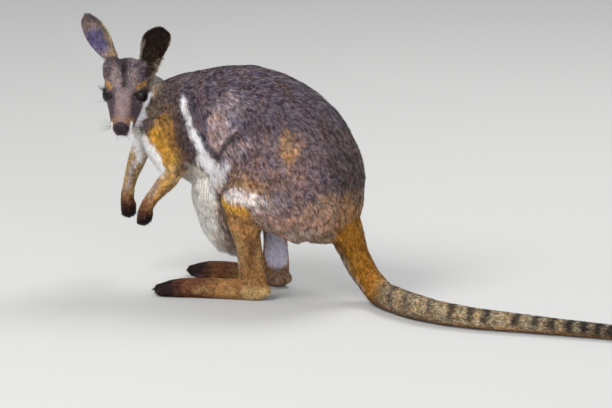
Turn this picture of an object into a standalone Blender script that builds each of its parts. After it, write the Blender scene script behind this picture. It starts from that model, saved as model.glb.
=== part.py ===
"""Yellow-footed rock-wallaby, a still life-size model resting on its hind feet and tail.

The body is lofted from short lists of stations, fused into one form, and parted by thin cuts
into the parts that a person would name. Ears, eyes, nose and claws are solids of their own.

Stance frame while modelling, in millimetres: the animal faces -X, its left side is -Y, and the
floor is Z = 0. At the end everything moves so that the origin is the middle of its footprint.
"""

import math

import bmesh
import bpy
from mathutils import Matrix, Vector

MM = 0.001
GAP = 0.3                # clearance at every cut
FLOOR = 0.0

# Driving sizes of the animal (millimetres, degrees).
EYES_MIDDLE = Vector((-194, -45.3, 260.5))
HEAD_HEADING = 284.5     # compass of the face about +Z, where 180 is straight ahead of the trunk
HEAD_PITCH = 32.0        # how far the nose points below level
EYE_SPREAD = 18.8        # from the middle of the head to an eyeball's centre
EYE_RADIUS = 10.8
EYE_FORWARD = 2.0        # how far the eyeballs sit ahead of the head's own middle
EAR_LENGTH = 69.0
EAR_WIDTH = 39.5
EAR_WALL = 2.8
FOOT_SPLAY = 8.0         # how far the toes point outward
TAIL_TIP_X = 655.0

# Mesh density: the fused form is remeshed at VOXEL, relaxed, and thinned for each kind of part.
VOXEL = 1.8
RELAX_STEPS = 7
FINE_SHARE = 0.0150
COARSE_SHARE = 0.0054


# ---------------------------------------------------------------- materials

def paint(name, colour, roughness):
    material = bpy.data.materials.new(name)
    material.use_nodes = True
    shader = material.node_tree.nodes["Principled BSDF"]
    shader.inputs["Base Color"].default_value = (*colour, 1.0)
    shader.inputs["Roughness"].default_value = roughness
    shader.inputs["Metallic"].default_value = 0.0
    return material


def make_materials():
    return {
        "grizzled": paint("grizzled fur", (0.125, 0.095, 0.095), 0.9),
        "orange": paint("orange fur", (0.33, 0.16, 0.045), 0.9),
        "face": paint("face fur", (0.25, 0.19, 0.18), 0.9),
        "dark": paint("dark fur", (0.06, 0.033, 0.026), 0.9),
        "ringed": paint("ringed tail fur", (0.26, 0.17, 0.08), 0.9),
        "eye": paint("eye", (0.012, 0.008, 0.007), 0.08),
        "nose": paint("nose", (0.03, 0.022, 0.026), 0.45),
        "claw": paint("claw", (0.022, 0.017, 0.015), 0.4),
    }


# ---------------------------------------------------------------- lofting

def blend(a, b, c, d, t):
    """Catmull-Rom value between b and c, for numbers and vectors alike."""
    return 0.5 * ((2 * b) + (c - a) * t + (2 * a - 5 * b + 4 * c - d) * t * t
                  + (3 * b - a - 3 * c + d) * t * t * t)


def spread(stations, steps):
    """Stations (centre, half-width, half-depth) with smooth stations worked out between them."""
    padded = [stations[0]] + list(stations) + [stations[-1]]
    rows = []
    for i in range(len(stations) - 1):
        a, b, c, d = padded[i:i + 4]
        for k in range(steps):
            t = k / steps
            centre = blend(Vector(a[0]), Vector(b[0]), Vector(c[0]), Vector(d[0]), t)
            sizes = [max(blend(a[n], b[n], c[n], d[n], t), 0.4) for n in (1, 2)]
            rows.append((centre, *sizes))
    rows.append((Vector(stations[-1][0]), *stations[-1][1:3]))
    return rows


def loft(bm, stations, across, steps=5, sides=20):
    """Add a closed tube: half-width runs along `across`, half-depth square to it and the path."""
    rows = spread(stations, steps)
    across = Vector(across)
    rings = []
    for i, (centre, width, depth) in enumerate(rows):
        before = rows[max(i - 1, 0)][0]
        after = rows[min(i + 1, len(rows) - 1)][0]
        along = (after - before).normalized()
        side = (across - along * across.dot(along)).normalized()
        rise = along.cross(side)
        ring = []
        for k in range(sides):
            angle = math.tau * k / sides
            point = centre + side * (width * math.cos(angle)) + rise * (depth * math.sin(angle))
            ring.append(bm.verts.new(point * MM))
        rings.append(ring)
    for lower, upper in zip(rings, rings[1:]):
        for k in range(sides):
            n = (k + 1) % sides
            bm.faces.new((lower[k], lower[n], upper[n], upper[k]))
    bm.faces.new(list(reversed(rings[0])))
    bm.faces.new(rings[-1])


def mirror(stations):
    return [((x, -y, z), a, b) for (x, y, z), a, b in stations]


def new_object(name, bm):
    bmesh.ops.recalc_face_normals(bm, faces=bm.faces)
    mesh = bpy.data.meshes.new(name)
    bm.to_mesh(mesh)
    bm.free()
    obj = bpy.data.objects.new(name, mesh)
    bpy.context.scene.collection.objects.link(obj)
    return obj


def settle(obj):
    """Replace an object's mesh by what its modifiers make of it."""
    graph = bpy.context.evaluated_depsgraph_get()
    graph.update()
    mesh = bpy.data.meshes.new_from_object(obj.evaluated_get(graph))
    obj.modifiers.clear()
    old = obj.data
    obj.data = mesh
    bpy.data.meshes.remove(old)
    return obj


def discard(obj):
    mesh = obj.data
    bpy.data.objects.remove(obj)
    bpy.data.meshes.remove(mesh)


# ---------------------------------------------------------------- trunk, neck and tail

def add_trunk(bm):
    """Chest to pelvis along the arched back, with a low-hung belly and pouch between the legs."""
    spine = [
        ((-192, -6, 196), 24, 24),
        ((-176, -3, 205), 39, 43),
        ((-142, 0, 214), 51, 63),
        ((-92, 0, 213), 60, 80),
        ((-38, 0, 208), 66, 90),
        ((12, 0, 188), 69, 87),
        ((45, 0, 158), 69, 73),
        ((60, 0, 125), 62, 56),
        ((64, 0, 95), 44, 40),
        ((66, 0, 76), 24, 20),
    ]
    loft(bm, spine, (0, 1, 0), steps=6, sides=32)
    pouch = [
        ((-62, 0, 190), 52, 56),
        ((-63, 0, 150), 52, 55),
        ((-64, 0, 122), 47, 52),
        ((-64, 1, 96), 40, 44),
        ((-62, 2, 74), 32, 35),
        ((-60, 3, 56), 19, 22),
        ((-60, 3, 48), 7, 9),
    ]
    loft(bm, pouch, (0, 1, 0))


def add_neck(bm):
    neck = [
        ((-150, 0, 222), 44, 44),
        ((-170, 0, 238), 36, 34),
        ((-187, 0, 254), 30, 28),
        ((-200, -6, 264), 26, 25),
        ((-205, -14, 266), 16, 16),
    ]
    loft(bm, neck, (0, 1, 0))


# The tail's stations in the air, from inside the rump, and those that lie on the floor, which
# give a place seen from above and a radius.
TAIL_DROP = [
    ((70, 0, 113), 37, 35),
    ((88, 0, 96), 28, 27),
    ((98, 0, 77), 21.5, 21),
    ((108, 0, 54), 18.6, 18.2),
    ((124, -5, 33), 17.6, 17.4),
]
TAIL_FLOOR_RUN = [
    ((148, -21), 17.4),
    ((180, -50), 17.0),
    ((220, -76), 16.2),
    ((258, -89), 15.0),
    ((302, -95), 13.8),
    ((356, -94), 12.4),
    ((420, -92), 10.9),
    ((475, -92), 10.2),
    ((545, -97), 9.7),
    ((605, -104), 9.2),
    ((634, -109), 8.0),
    ((648, -112), 5.4),
    ((TAIL_TIP_X, -113), 1.6),
]
TAIL_SINK = 0.8          # how far the tail's underside would reach below the floor


def tail_stations():
    """The tail drops from the rump, meets the floor and runs back along it to a brushy tip."""
    run = [((x, y, radius - TAIL_SINK), radius, radius) for (x, y), radius in TAIL_FLOOR_RUN]
    return TAIL_DROP + run


def add_tail(bm):
    loft(bm, tail_stations(), (0, 1, 0), steps=6, sides=18)


# ---------------------------------------------------------------- head

def head_axes():
    heading = math.radians(HEAD_HEADING)
    pitch = math.radians(HEAD_PITCH)
    level = Vector((math.cos(heading), math.sin(heading), 0))
    forward = level * math.cos(pitch) - Vector((0, 0, math.sin(pitch)))
    left = Vector((0, 0, 1)).cross(level)
    up = forward.cross(left)
    return forward, left, up


def head_point(forward, left, up):
    """A place on the head, measured from the middle between the eyes."""
    f, l, u = head_axes()
    return EYES_MIDDLE + f * forward + l * left + u * up


def ear_root(side):
    return -36, 29 * side, 20


def add_head(bm):
    """Skull, cheeks and muzzle along the line from the nape to the nose."""
    profile = [
        (-54, -7, 15, 15),
        (-46, -6, 25, 26),
        (-28, -6, 30, 35),
        (-8, -9, 29.5, 34),
        (10, -12, 24.0, 29),
        (25, -14, 19.5, 24),
        (40, -15.5, 16.2, 19),
        (50, -15.5, 14.4, 15.5),
        (57, -15, 10.5, 10.5),
        (60, -15, 5, 5),
    ]
    left = head_axes()[1]
    stations = [(head_point(s, 0, rise), wide, deep) for s, rise, wide, deep in profile]
    loft(bm, stations, left, steps=5, sides=24)
    for side in (-1, 1):
        root = [
            (head_point(-30, 15 * side, 0), 14, 16),
            (head_point(-33, 22 * side, 9), 14, 15),
            (head_point(*ear_root(side)), 12.5, 13.5),
        ]
        loft(bm, root, head_axes()[0], steps=3, sides=14)
        brow = [
            (head_point(-14, 17 * side, 6), 5, 6),
            (head_point(-2, 20 * side, 9.5), 6, 6),
            (head_point(10, 17 * side, 5), 4, 5),
        ]
        loft(bm, brow, left, steps=3, sides=10)


# ---------------------------------------------------------------- arms

ARM_LEFT = {
    "upper": [
        ((-152, -34, 226), 24, 29),
        ((-146, -42, 204), 21, 28),
        ((-136, -47, 181), 17, 22),
        ((-126, -49, 163), 13, 15),
    ],
    "fore": [
        ((-125, -49, 165), 12.5, 13),
        ((-133, -49, 152), 12, 13.2),
        ((-147, -48, 136), 9.8, 10.8),
        ((-160, -47, 121), 8.6, 9.2),
        ((-166, -46, 110), 9, 9.4),
    ],
    "knuckles": Vector((-168, -46, 99)),
    "fingers": Vector((0.05, 0.0, -1.0)),
}
ARM_RIGHT = {
    "upper": [
        ((-170, 32, 222), 24, 26),
        ((-183, 38, 203), 20, 22),
        ((-198, 40, 187), 16, 17),
        ((-208, 40, 170), 13.5, 14.5),
    ],
    "fore": [
        ((-207, 40, 172), 12.5, 13),
        ((-213, 39, 156), 11.6, 12.6),
        ((-220, 37, 136), 9.4, 10),
        ((-224.5, 35, 116), 8.4, 8.8),
        ((-225.5, 34, 103), 8.8, 9.2),
    ],
    "knuckles": Vector((-223, 33, 90)),
    "fingers": Vector((0.22, -0.05, -1.0)),
}
FINGERS = 5
FINGER_LENGTH = 10.5
FINGER_RADIUS = 3.9
HAND_SPAN = 18.0         # across the finger tips


def finger_line(arm, number):
    """Start and end of one finger: the fingers fan out across the hand and curl back."""
    outward = number / (FINGERS - 1) - 0.5
    down = arm["fingers"].normalized()
    across = Vector((0.6, 1, 0)).normalized()
    length = FINGER_LENGTH * (1 - 1.1 * outward * outward)
    start = arm["knuckles"] + across * (HAND_SPAN * 0.8 * outward)
    end = start + down * length + across * (HAND_SPAN * 0.25 * outward)
    return start, end


def add_arm(bm, arm):
    loft(bm, arm["upper"], (0, 1, 0))
    loft(bm, arm["fore"], (0, 1, 0))
    wrist = Vector(arm["fore"][-1][0])
    palm = [
        (wrist, 9.2, 9.2),
        (wrist.lerp(arm["knuckles"], 0.6), 11.0, 10.0),
        (arm["knuckles"] + Vector((0, 0, -2)), 11.0, 8.8),
    ]
    loft(bm, palm, (0.6, 1, 0), steps=3, sides=14)
    for number in range(FINGERS):
        start, end = finger_line(arm, number)
        middle = start.lerp(end, 0.6) + Vector((-1, 0, 0))
        sizes = (FINGER_RADIUS + 0.5, FINGER_RADIUS, FINGER_RADIUS - 0.9)
        line = [(place, size, size) for place, size in zip((start, middle, end), sizes)]
        loft(bm, line, (1, 0, 0), steps=3, sides=10)


# ---------------------------------------------------------------- legs

THIGH = [
    ((98, -34, 144), 10, 20),
    ((80, -40, 145), 29, 56),
    ((46, -45, 149), 36, 69),
    ((12, -48, 147), 34, 60),
    ((-18, -52, 140), 29, 45),
    ((-40, -56, 133), 23, 29),
    ((-53, -57, 131), 10, 12),
]
SHANK = [
    ((-31, -56, 140), 19, 24),
    ((-30, -55, 112), 18, 21),
    ((-24, -51, 82), 15, 18.5),
    ((-21, -46, 52), 13, 17.5),
    ((-19, -42, 28), 13, 19),
    ((-17, -40, 12), 12, 17),
]
HEEL = Vector((2, -38, 0))
# Distance from the heel, half-width, and height of the upper side.
FOOT_PROFILE = [
    (3, 5, 13),
    (9, 12, 23),
    (26, 13.5, 27),
    (60, 13, 26),
    (92, 14.5, 25.5),
    (114, 15, 24),
    (128, 13.5, 21.5),
    (139, 10.5, 17.5),
    (146, 6, 11),
]
FOOT_SUNK = 4.0          # the foot is modelled this far below the floor and cut flat there
# Toe: sideways place (outward is positive), where it ends, radius. The two small ones are joined.
TOES = {
    "long": (0.5, 153.0, 9.0),
    "outer": (11.0, 145.0, 6.8),
    "twin_a": (-9.4, 140.0, 4.9),
    "twin_b": (-14.0, 137.0, 4.5),
}


def foot_axes(side):
    splay = math.radians(FOOT_SPLAY)
    ahead = Vector((-math.cos(splay), side * math.sin(splay), 0))
    outward = Vector((-math.sin(splay), side * math.cos(splay), 0))
    return ahead, outward


def foot_point(side, along, outward, height):
    ahead, out = foot_axes(side)
    heel = Vector((HEEL.x, -side * HEEL.y, 0))
    return heel + ahead * along + out * outward + Vector((0, 0, height))


def add_leg(bm, side):
    """One hind leg; side is -1 for the left and +1 for the right."""
    thigh, shank = (THIGH, SHANK) if side < 0 else (mirror(THIGH), mirror(SHANK))
    loft(bm, thigh, (0, 1, 0), steps=6, sides=24)
    loft(bm, shank, (0, 1, 0), steps=5, sides=18)
    out = foot_axes(side)[1]
    sole = [(foot_point(side, d, 0, (top - FOOT_SUNK) / 2), wide, (top + FOOT_SUNK) / 2)
            for d, wide, top in FOOT_PROFILE]
    loft(bm, sole, out, steps=4, sides=16)
    for sideways, end, radius in TOES.values():
        toe = [
            (foot_point(side, end - 34, sideways * 0.8, radius), radius, radius + 1),
            (foot_point(side, end - 16, sideways, radius * 0.95), radius, radius),
            (foot_point(side, end - 5, sideways, radius * 0.8), radius * 0.92, radius * 0.9),
            (foot_point(side, end, sideways, radius * 0.7), radius * 0.6, radius * 0.6),
        ]
        loft(bm, toe, out, steps=3, sides=10)


# ---------------------------------------------------------------- the fused body

def make_body():
    bm = bmesh.new()
    add_trunk(bm)
    add_neck(bm)
    add_tail(bm)
    add_head(bm)
    add_arm(bm, ARM_LEFT)
    add_arm(bm, ARM_RIGHT)
    add_leg(bm, -1)
    add_leg(bm, 1)
    body = new_object("body", bm)
    remesh = body.modifiers.new("fuse", "REMESH")
    remesh.mode = "VOXEL"
    remesh.voxel_size = VOXEL * MM
    relax = body.modifiers.new("relax", "SMOOTH")
    relax.factor = 0.5
    relax.iterations = RELAX_STEPS
    return settle(body)


def thinned(body, share, name):
    """A copy of the fused body with fewer faces, flat where it stands on the floor."""
    copy = bpy.data.objects.new(name, body.data.copy())
    bpy.context.scene.collection.objects.link(copy)
    thin = copy.modifiers.new("thin", "DECIMATE")
    thin.ratio = share
    settle(copy)
    bm = bmesh.new()
    bm.from_mesh(copy.data)
    everything = list(bm.verts) + list(bm.edges) + list(bm.faces)
    cut = bmesh.ops.bisect_plane(
        bm, geom=everything, dist=1e-7, plane_co=(0, 0, FLOOR), plane_no=(0, 0, 1),
        clear_inner=True)
    rim = [e for e in cut["geom_cut"] if isinstance(e, bmesh.types.BMEdge)]
    bmesh.ops.edgeloop_fill(bm, edges=rim)
    bmesh.ops.recalc_face_normals(bm, faces=bm.faces)
    bm.to_mesh(copy.data)
    bm.free()
    return copy


# ---------------------------------------------------------------- parting by thin cuts

def box_cutter(start, direction, reach, half_sides, across, grow=0.0):
    """A box from the plane through `start`, reaching along `direction`."""
    along = Vector(direction).normalized()
    side = Vector(across)
    side = (side - along * side.dot(along)).normalized()
    rise = along.cross(side)
    bm = bmesh.new()
    bmesh.ops.create_cube(bm, size=2.0)
    middle = Vector(start) + along * (reach / 2)
    size = Vector((reach / 2 + grow, half_sides[0] + grow, half_sides[1] + grow))
    turn = Matrix((along, side, rise)).transposed().to_4x4()
    place = Matrix.Translation(middle * MM) @ turn @ Matrix.Diagonal((*(size * MM), 1))
    bmesh.ops.transform(bm, matrix=place, verts=bm.verts)
    return new_object("cutter", bm)


def egg_cutter(centre, half_sizes, axes, grow=0.0, detail=3):
    """A rounded cutter, an ellipsoid on the given axes."""
    bm = bmesh.new()
    bmesh.ops.create_icosphere(bm, subdivisions=detail, radius=1.0)
    size = Vector(half_sizes) + Vector((grow, grow, grow))
    turn = Matrix(axes).transposed().to_4x4()
    place = Matrix.Translation(Vector(centre) * MM) @ turn @ Matrix.Diagonal((*(size * MM), 1))
    bmesh.ops.transform(bm, matrix=place, verts=bm.verts)
    return new_object("cutter", bm)


def apply_boolean(obj, cutter, operation):
    cut = obj.modifiers.new("cut", "BOOLEAN")
    cut.operation = operation
    cut.object = cutter
    cut.solver = "EXACT"
    settle(obj)


def copy_of(obj, name):
    copy = bpy.data.objects.new(name, obj.data.copy())
    bpy.context.scene.collection.objects.link(copy)
    return copy


def keep_whole(obj):
    """Drop crumbs that a cut left loose, keeping the largest connected shell."""
    bm = bmesh.new()
    bm.from_mesh(obj.data)
    unseen = set(bm.verts)
    shells = []
    while unseen:
        shell = {unseen.pop()}
        edge_of_shell = list(shell)
        while edge_of_shell:
            vert = edge_of_shell.pop()
            for edge in vert.link_edges:
                other = edge.other_vert(vert)
                if other in unseen:
                    unseen.discard(other)
                    shell.add(other)
                    edge_of_shell.append(other)
        shells.append(shell)
    shells.sort(key=len, reverse=True)
    crumbs = [vert for shell in shells[1:] for vert in shell]
    bmesh.ops.delete(bm, geom=crumbs, context="VERTS")
    bm.to_mesh(obj.data)
    bm.free()


def part_off(stocks, keep, name, cutter_maker):
    """Part a piece from every stock, and keep the one cut from the stock named `keep`."""
    inner = cutter_maker(0.0)
    outer = cutter_maker(GAP)
    piece = copy_of(stocks[keep], name)
    apply_boolean(piece, inner, "INTERSECT")
    for stock in stocks.values():
        apply_boolean(stock, outer, "DIFFERENCE")
    discard(inner)
    discard(outer)
    return piece


WORLD = (Vector((1, 0, 0)), Vector((0, 1, 0)), Vector((0, 0, 1)))

# Cutting boxes: how far each reaches from its plane, and its half-sides.
HAND_BOX = (45, (20, 20))
FOREARM_BOX = (75, (22, 22))
FOREARM_START = 17       # how far past the elbow's station the forearm parts
FOOT_BOX = (40, (100, 26))
SHANK_BOX = (75, (29, 33))
TAIL_BOX = (330, (45, 45))
TAIL_ROOT_BOX = (170, (60, 60))
NECK_BOX = (90, (58, 45))
# Cutting eggs: their half-sizes.
UPPER_ARM_EGG = (58, 27, 32)
UPPER_ARM_OUTWARD = 8
THIGH_EGG = (95, 38, 76)
HEAD_EGG = (70, 50, 48)


def part_arm(stocks, suffix, arm):
    pieces = {}
    wrist = Vector(arm["fore"][-1][0])
    elbow = Vector(arm["fore"][0][0])
    fore = (wrist - elbow).normalized()
    pieces["hand_" + suffix] = part_off(
        stocks, "fine", "hand_" + suffix,
        lambda grow: box_cutter(wrist, fore + Vector((0, 0, -1)), *HAND_BOX, (0, 1, 0), grow))
    pieces["forearm_" + suffix] = part_off(
        stocks, "fine", "forearm_" + suffix,
        lambda grow: box_cutter(elbow + fore * FOREARM_START, fore, *FOREARM_BOX, (0, 1, 0), grow))
    shoulder = Vector(arm["upper"][0][0])
    slant = (elbow - shoulder).normalized()
    side = math.copysign(1, shoulder.y)
    lateral = (Vector((0, side, 0)) - slant * slant.y * side).normalized()
    axes = (slant, lateral, slant.cross(lateral))
    centre = shoulder.lerp(elbow, 0.62) + lateral * UPPER_ARM_OUTWARD
    pieces["upper_arm_" + suffix] = part_off(
        stocks, "coarse", "upper_arm_" + suffix,
        lambda grow: egg_cutter(centre, UPPER_ARM_EGG, axes, grow))
    return pieces


def part_leg(stocks, suffix, side):
    pieces = {}
    ahead = foot_axes(side)[0]
    instep = foot_point(side, 75, 0, 29)
    pieces["foot_" + suffix] = part_off(
        stocks, "fine", "foot_" + suffix,
        lambda grow: box_cutter(instep, (0, 0, -1), *FOOT_BOX, ahead, grow))
    knee = Vector((-24, side * 58, 92))
    pieces["shank_" + suffix] = part_off(
        stocks, "coarse", "shank_" + suffix,
        lambda grow: box_cutter(knee, (0, 0, -1), *SHANK_BOX, (0, 1, 0), grow))
    thigh_middle = Vector((30, side * 66, 146))
    pieces["thigh_" + suffix] = part_off(
        stocks, "coarse", "thigh_" + suffix,
        lambda grow: egg_cutter(thigh_middle, THIGH_EGG, WORLD, grow))
    return pieces


# The floor stations at which each length of the tail parts from the one before it.
TAIL_CUTS = {"tail_4": 7, "tail_3": 4, "tail_2": 1}
TAIL_ROOT = Vector((96, 0, 84))
TAIL_ROOT_SLOPE = Vector((0.5, 0, -0.87))


def part_tail(stocks):
    """Tail lengths, from the tip inward, each cut square to the tail's line."""
    pieces = {}
    stations = tail_stations()
    for name, floor_station in TAIL_CUTS.items():
        place = len(TAIL_DROP) + floor_station
        here = Vector(stations[place][0])
        along = Vector(stations[place + 1][0]) - Vector(stations[place - 1][0])
        pieces[name] = part_off(
            stocks, "coarse", name,
            lambda grow: box_cutter(here, along, *TAIL_BOX, (0, 1, 0), grow))
    pieces["tail_1"] = part_off(
        stocks, "coarse", "tail_1",
        lambda grow: box_cutter(TAIL_ROOT, TAIL_ROOT_SLOPE, *TAIL_ROOT_BOX, (0, 1, 0), grow))
    return pieces


def part_head(stocks):
    pieces = {}
    axes = head_axes()
    middle = head_point(0, 0, 2)
    pieces["head"] = part_off(
        stocks, "fine", "head",
        lambda grow: egg_cutter(middle, HEAD_EGG, axes, grow))
    pieces["neck"] = part_off(
        stocks, "coarse", "neck",
        lambda grow: box_cutter((-160, 0, 236), (-0.62, 0, 0.78), *NECK_BOX, (0, 1, 0), grow))
    return pieces


# ---------------------------------------------------------------- ears, eyes, nose, claws

# Share of the length, half-width share of the widest, and how far the edge wraps (degrees).
EAR_OUTLINE = [
    (0.00, 0.66, 100),
    (0.18, 0.74, 92),
    (0.40, 0.90, 74),
    (0.60, 1.00, 62),
    (0.80, 0.96, 54),
    (0.93, 0.72, 46),
    (1.00, 0.34, 38),
]
EARS = {
    "ear_L": {"side": 1, "lean": (0.20, 0.27, 0.87), "open": (0.92, 0.20, 0.0)},
    "ear_R": {"side": -1, "lean": (-0.20, -0.20, 0.88), "open": (0.90, -0.25, 0.1)},
}


def ear_row(share):
    """Half-width and wrap angle at a share of the ear's length."""
    rows = [EAR_OUTLINE[0]] + EAR_OUTLINE + [EAR_OUTLINE[-1]]
    for i in range(len(EAR_OUTLINE) - 1):
        a, b, c, d = rows[i:i + 4]
        if share <= c[0] or i == len(EAR_OUTLINE) - 2:
            t = (share - b[0]) / (c[0] - b[0])
            return blend(a[1], b[1], c[1], d[1], t), blend(a[2], b[2], c[2], d[2], t)


def make_ear(name):
    """A cupped blade with a solid root, cut flat where it meets the head."""
    setting = EARS[name]
    f, l, u = head_axes()
    to_world = Matrix((f, l, u)).transposed()
    along = (to_world @ Vector(setting["lean"])).normalized()
    opening = to_world @ Vector(setting["open"])
    opening = (opening - along * opening.dot(along)).normalized()
    wide = along.cross(opening)
    root = head_point(*ear_root(setting["side"])) + along * GAP
    rows = 9
    columns = 7
    bm = bmesh.new()
    outer = []
    inner = []
    for i in range(rows + 1):
        share = i / rows
        half, wrap = ear_row(share)
        half *= EAR_WIDTH / 2
        wrap = math.radians(wrap)
        radius = half / min(math.sin(wrap), 1.0) if wrap < math.pi / 2 else half
        wall = EAR_WALL * (1 - 0.35 * share)
        hollow = min(max((share - 0.05) / 0.22, 0.0), 1.0)
        bend = -9.0 * share * share
        centre = root + along * (EAR_LENGTH * share) + opening * bend
        out_row = []
        in_row = []
        for j in range(columns + 1):
            angle = wrap * (2 * j / columns - 1)
            chord = radius * math.cos(wrap)
            x = radius * math.sin(angle)
            y = chord - radius * math.cos(angle)
            inset = max(radius - wall, 0.3)
            cup = chord - inset * math.cos(angle)
            floor = y + (0.3 - y) * 0.8
            deep = cup * hollow + max(cup, floor) * (1 - hollow)
            x_in = inset * math.sin(angle)
            out_row.append(bm.verts.new((centre + wide * x + opening * y) * MM))
            in_row.append(bm.verts.new((centre + wide * x_in + opening * deep) * MM))
        outer.append(out_row)
        inner.append(in_row)
    for i in range(rows):
        for j in range(columns):
            bm.faces.new((outer[i][j], outer[i][j + 1], outer[i + 1][j + 1], outer[i + 1][j]))
            bm.faces.new((inner[i][j], inner[i + 1][j], inner[i + 1][j + 1], inner[i][j + 1]))
    for i in range(rows):
        for j in (0, columns):
            bm.faces.new((outer[i][j], outer[i + 1][j], inner[i + 1][j], inner[i][j]))
    for j in range(columns):
        bm.faces.new((outer[0][j], inner[0][j], inner[0][j + 1], outer[0][j + 1]))
        bm.faces.new((outer[rows][j], outer[rows][j + 1], inner[rows][j + 1], inner[rows][j]))
    return new_object(name, bm), root, along


def eye_centre(side):
    return head_point(EYE_FORWARD, side * EYE_SPREAD, 0)


def make_eye(name, side):
    bm = bmesh.new()
    bmesh.ops.create_uvsphere(bm, u_segments=14, v_segments=9, radius=EYE_RADIUS * MM)
    bmesh.ops.translate(bm, verts=bm.verts, vec=eye_centre(side) * MM)
    return new_object(name, bm)


def eye_socket(side):
    size = EYE_RADIUS + GAP
    return egg_cutter(eye_centre(side), (size, size, size), head_axes())


NOSE_PLACE = (56.0, 0, -10.2)
NOSE_HALF_SIZES = (5.6, 9.5, 9.6)


def nose_egg(grow):
    return egg_cutter(head_point(*NOSE_PLACE), NOSE_HALF_SIZES, head_axes(), grow, detail=2)


def make_claw(name, root, direction, hook, length, radius, grow=0.0):
    """A tapered claw that starts inside its finger or toe and hooks over at the tip."""
    direction = Vector(direction).normalized()
    hook = Vector(hook).normalized()
    start = Vector(root) - direction * (3.0 + grow)
    line = []
    for share, size in ((0, 0.75), (0.35, 1.0), (0.7, 0.62), (1.0, 0.14)):
        place = start + direction * ((length + 3.0) * share) + hook * (length * 0.22 * share ** 2)
        line.append((place, radius * size + grow, radius * size * 1.15 + grow))
    bm = bmesh.new()
    loft(bm, line, direction.orthogonal(), steps=1, sides=6)
    return new_object(name, bm)


# Length and radius of the claws, past the finger's or the toe's end.
HAND_CLAW = (4.4, 1.8)
FOOT_CLAWS = {"long": (6.0, 3.0), "outer": (5.5, 2.4), "twin_a": (4.5, 1.6), "twin_b": (4.5, 1.6)}


def hand_claws(suffix, arm):
    claws = []
    for number in range(FINGERS):
        start, end = finger_line(arm, number)
        down = (end - start).normalized() + Vector((-0.25, 0, 0))
        name = f"claw_hand_{suffix}_{number + 1}"
        claws.append((name, end, down, (0.8, 0, -0.6), *HAND_CLAW))
    return claws


def foot_claws(suffix, side):
    ahead = foot_axes(side)[0]
    claws = []
    for toe, (length, radius) in FOOT_CLAWS.items():
        sideways, end, toe_radius = TOES[toe]
        root = foot_point(side, end, sideways, toe_radius * 0.85)
        direction = ahead + Vector((0, 0, -0.2))
        claws.append((f"claw_foot_{suffix}_{toe}", root, direction, (0, 0, -1), length, radius))
    return claws


# ---------------------------------------------------------------- assembly

def build():
    for obj in list(bpy.data.objects):
        bpy.data.objects.remove(obj)
    look = make_materials()
    body = make_body()
    stocks = {
        "fine": thinned(body, FINE_SHARE, "stock_fine"),
        "coarse": thinned(body, COARSE_SHARE, "stock_coarse"),
    }
    discard(body)

    pieces = {}
    pieces.update(part_arm(stocks, "L", ARM_LEFT))
    pieces.update(part_arm(stocks, "R", ARM_RIGHT))
    pieces.update(part_head(stocks))
    pieces.update(part_leg(stocks, "L", -1))
    pieces.update(part_leg(stocks, "R", 1))
    pieces.update(part_tail(stocks))
    pieces["trunk"] = stocks["coarse"]
    pieces["trunk"].name = "trunk"
    discard(stocks["fine"])

    head = pieces["head"]
    for name in EARS:
        ear, root, along = make_ear(name)
        pieces[name] = ear
        above = box_cutter(root - along * GAP, along, 40, (24, 24), head_axes()[0])
        apply_boolean(head, above, "DIFFERENCE")
        discard(above)
    for name, side in (("eye_L", 1), ("eye_R", -1)):
        pieces[name] = make_eye(name, side)
        socket = eye_socket(side)
        apply_boolean(head, socket, "DIFFERENCE")
        discard(socket)
    pieces["nose"] = nose_egg(0.0)
    pieces["nose"].name = "nose"
    pocket = nose_egg(GAP)
    apply_boolean(head, pocket, "DIFFERENCE")
    discard(pocket)

    claws = {
        "hand_L": hand_claws("L", ARM_LEFT),
        "hand_R": hand_claws("R", ARM_RIGHT),
        "foot_L": foot_claws("L", -1),
        "foot_R": foot_claws("R", 1),
    }
    for carrier, rows in claws.items():
        for row in rows:
            pieces[row[0]] = make_claw(*row)
            pocket = make_claw("pocket", *row[1:], grow=GAP)
            apply_boolean(pieces[carrier], pocket, "DIFFERENCE")
            discard(pocket)
    for obj in pieces.values():
        keep_whole(obj)
    finish(pieces, look)


def finish(pieces, look):
    """Give each piece its material, and move all so the origin is the footprint's middle."""
    lows = []
    highs = []
    for obj in pieces.values():
        points = [v.co for v in obj.data.vertices]
        lows.append([min(p[k] for p in points) for k in range(3)])
        highs.append([max(p[k] for p in points) for k in range(3)])
    low = [min(row[k] for row in lows) for k in range(3)]
    high = [max(row[k] for row in highs) for k in range(3)]
    shift = Vector((-(low[0] + high[0]) / 2, -(low[1] + high[1]) / 2, -low[2]))
    kinds = {
        "eye": "eye", "nose": "nose", "claw": "claw", "tail": "ringed", "head": "face",
        "ear": "face", "forearm": "orange", "upper": "orange", "shank": "orange",
        "foot": "orange", "hand": "dark",
    }
    for name, obj in pieces.items():
        obj.data.transform(Matrix.Translation(shift))
        obj.data.materials.clear()
        kind = kinds.get(name.split("_")[0], "grizzled")
        obj.data.materials.append(look[kind])
        if kind == "eye":
            obj.data.shade_smooth()


build()
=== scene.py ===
"""A yellow-footed rock-wallaby, a still museum model at life size."""
import math

import bmesh
import bpy
import numpy as np
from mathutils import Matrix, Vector
from mathutils.kdtree import KDTree


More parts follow.
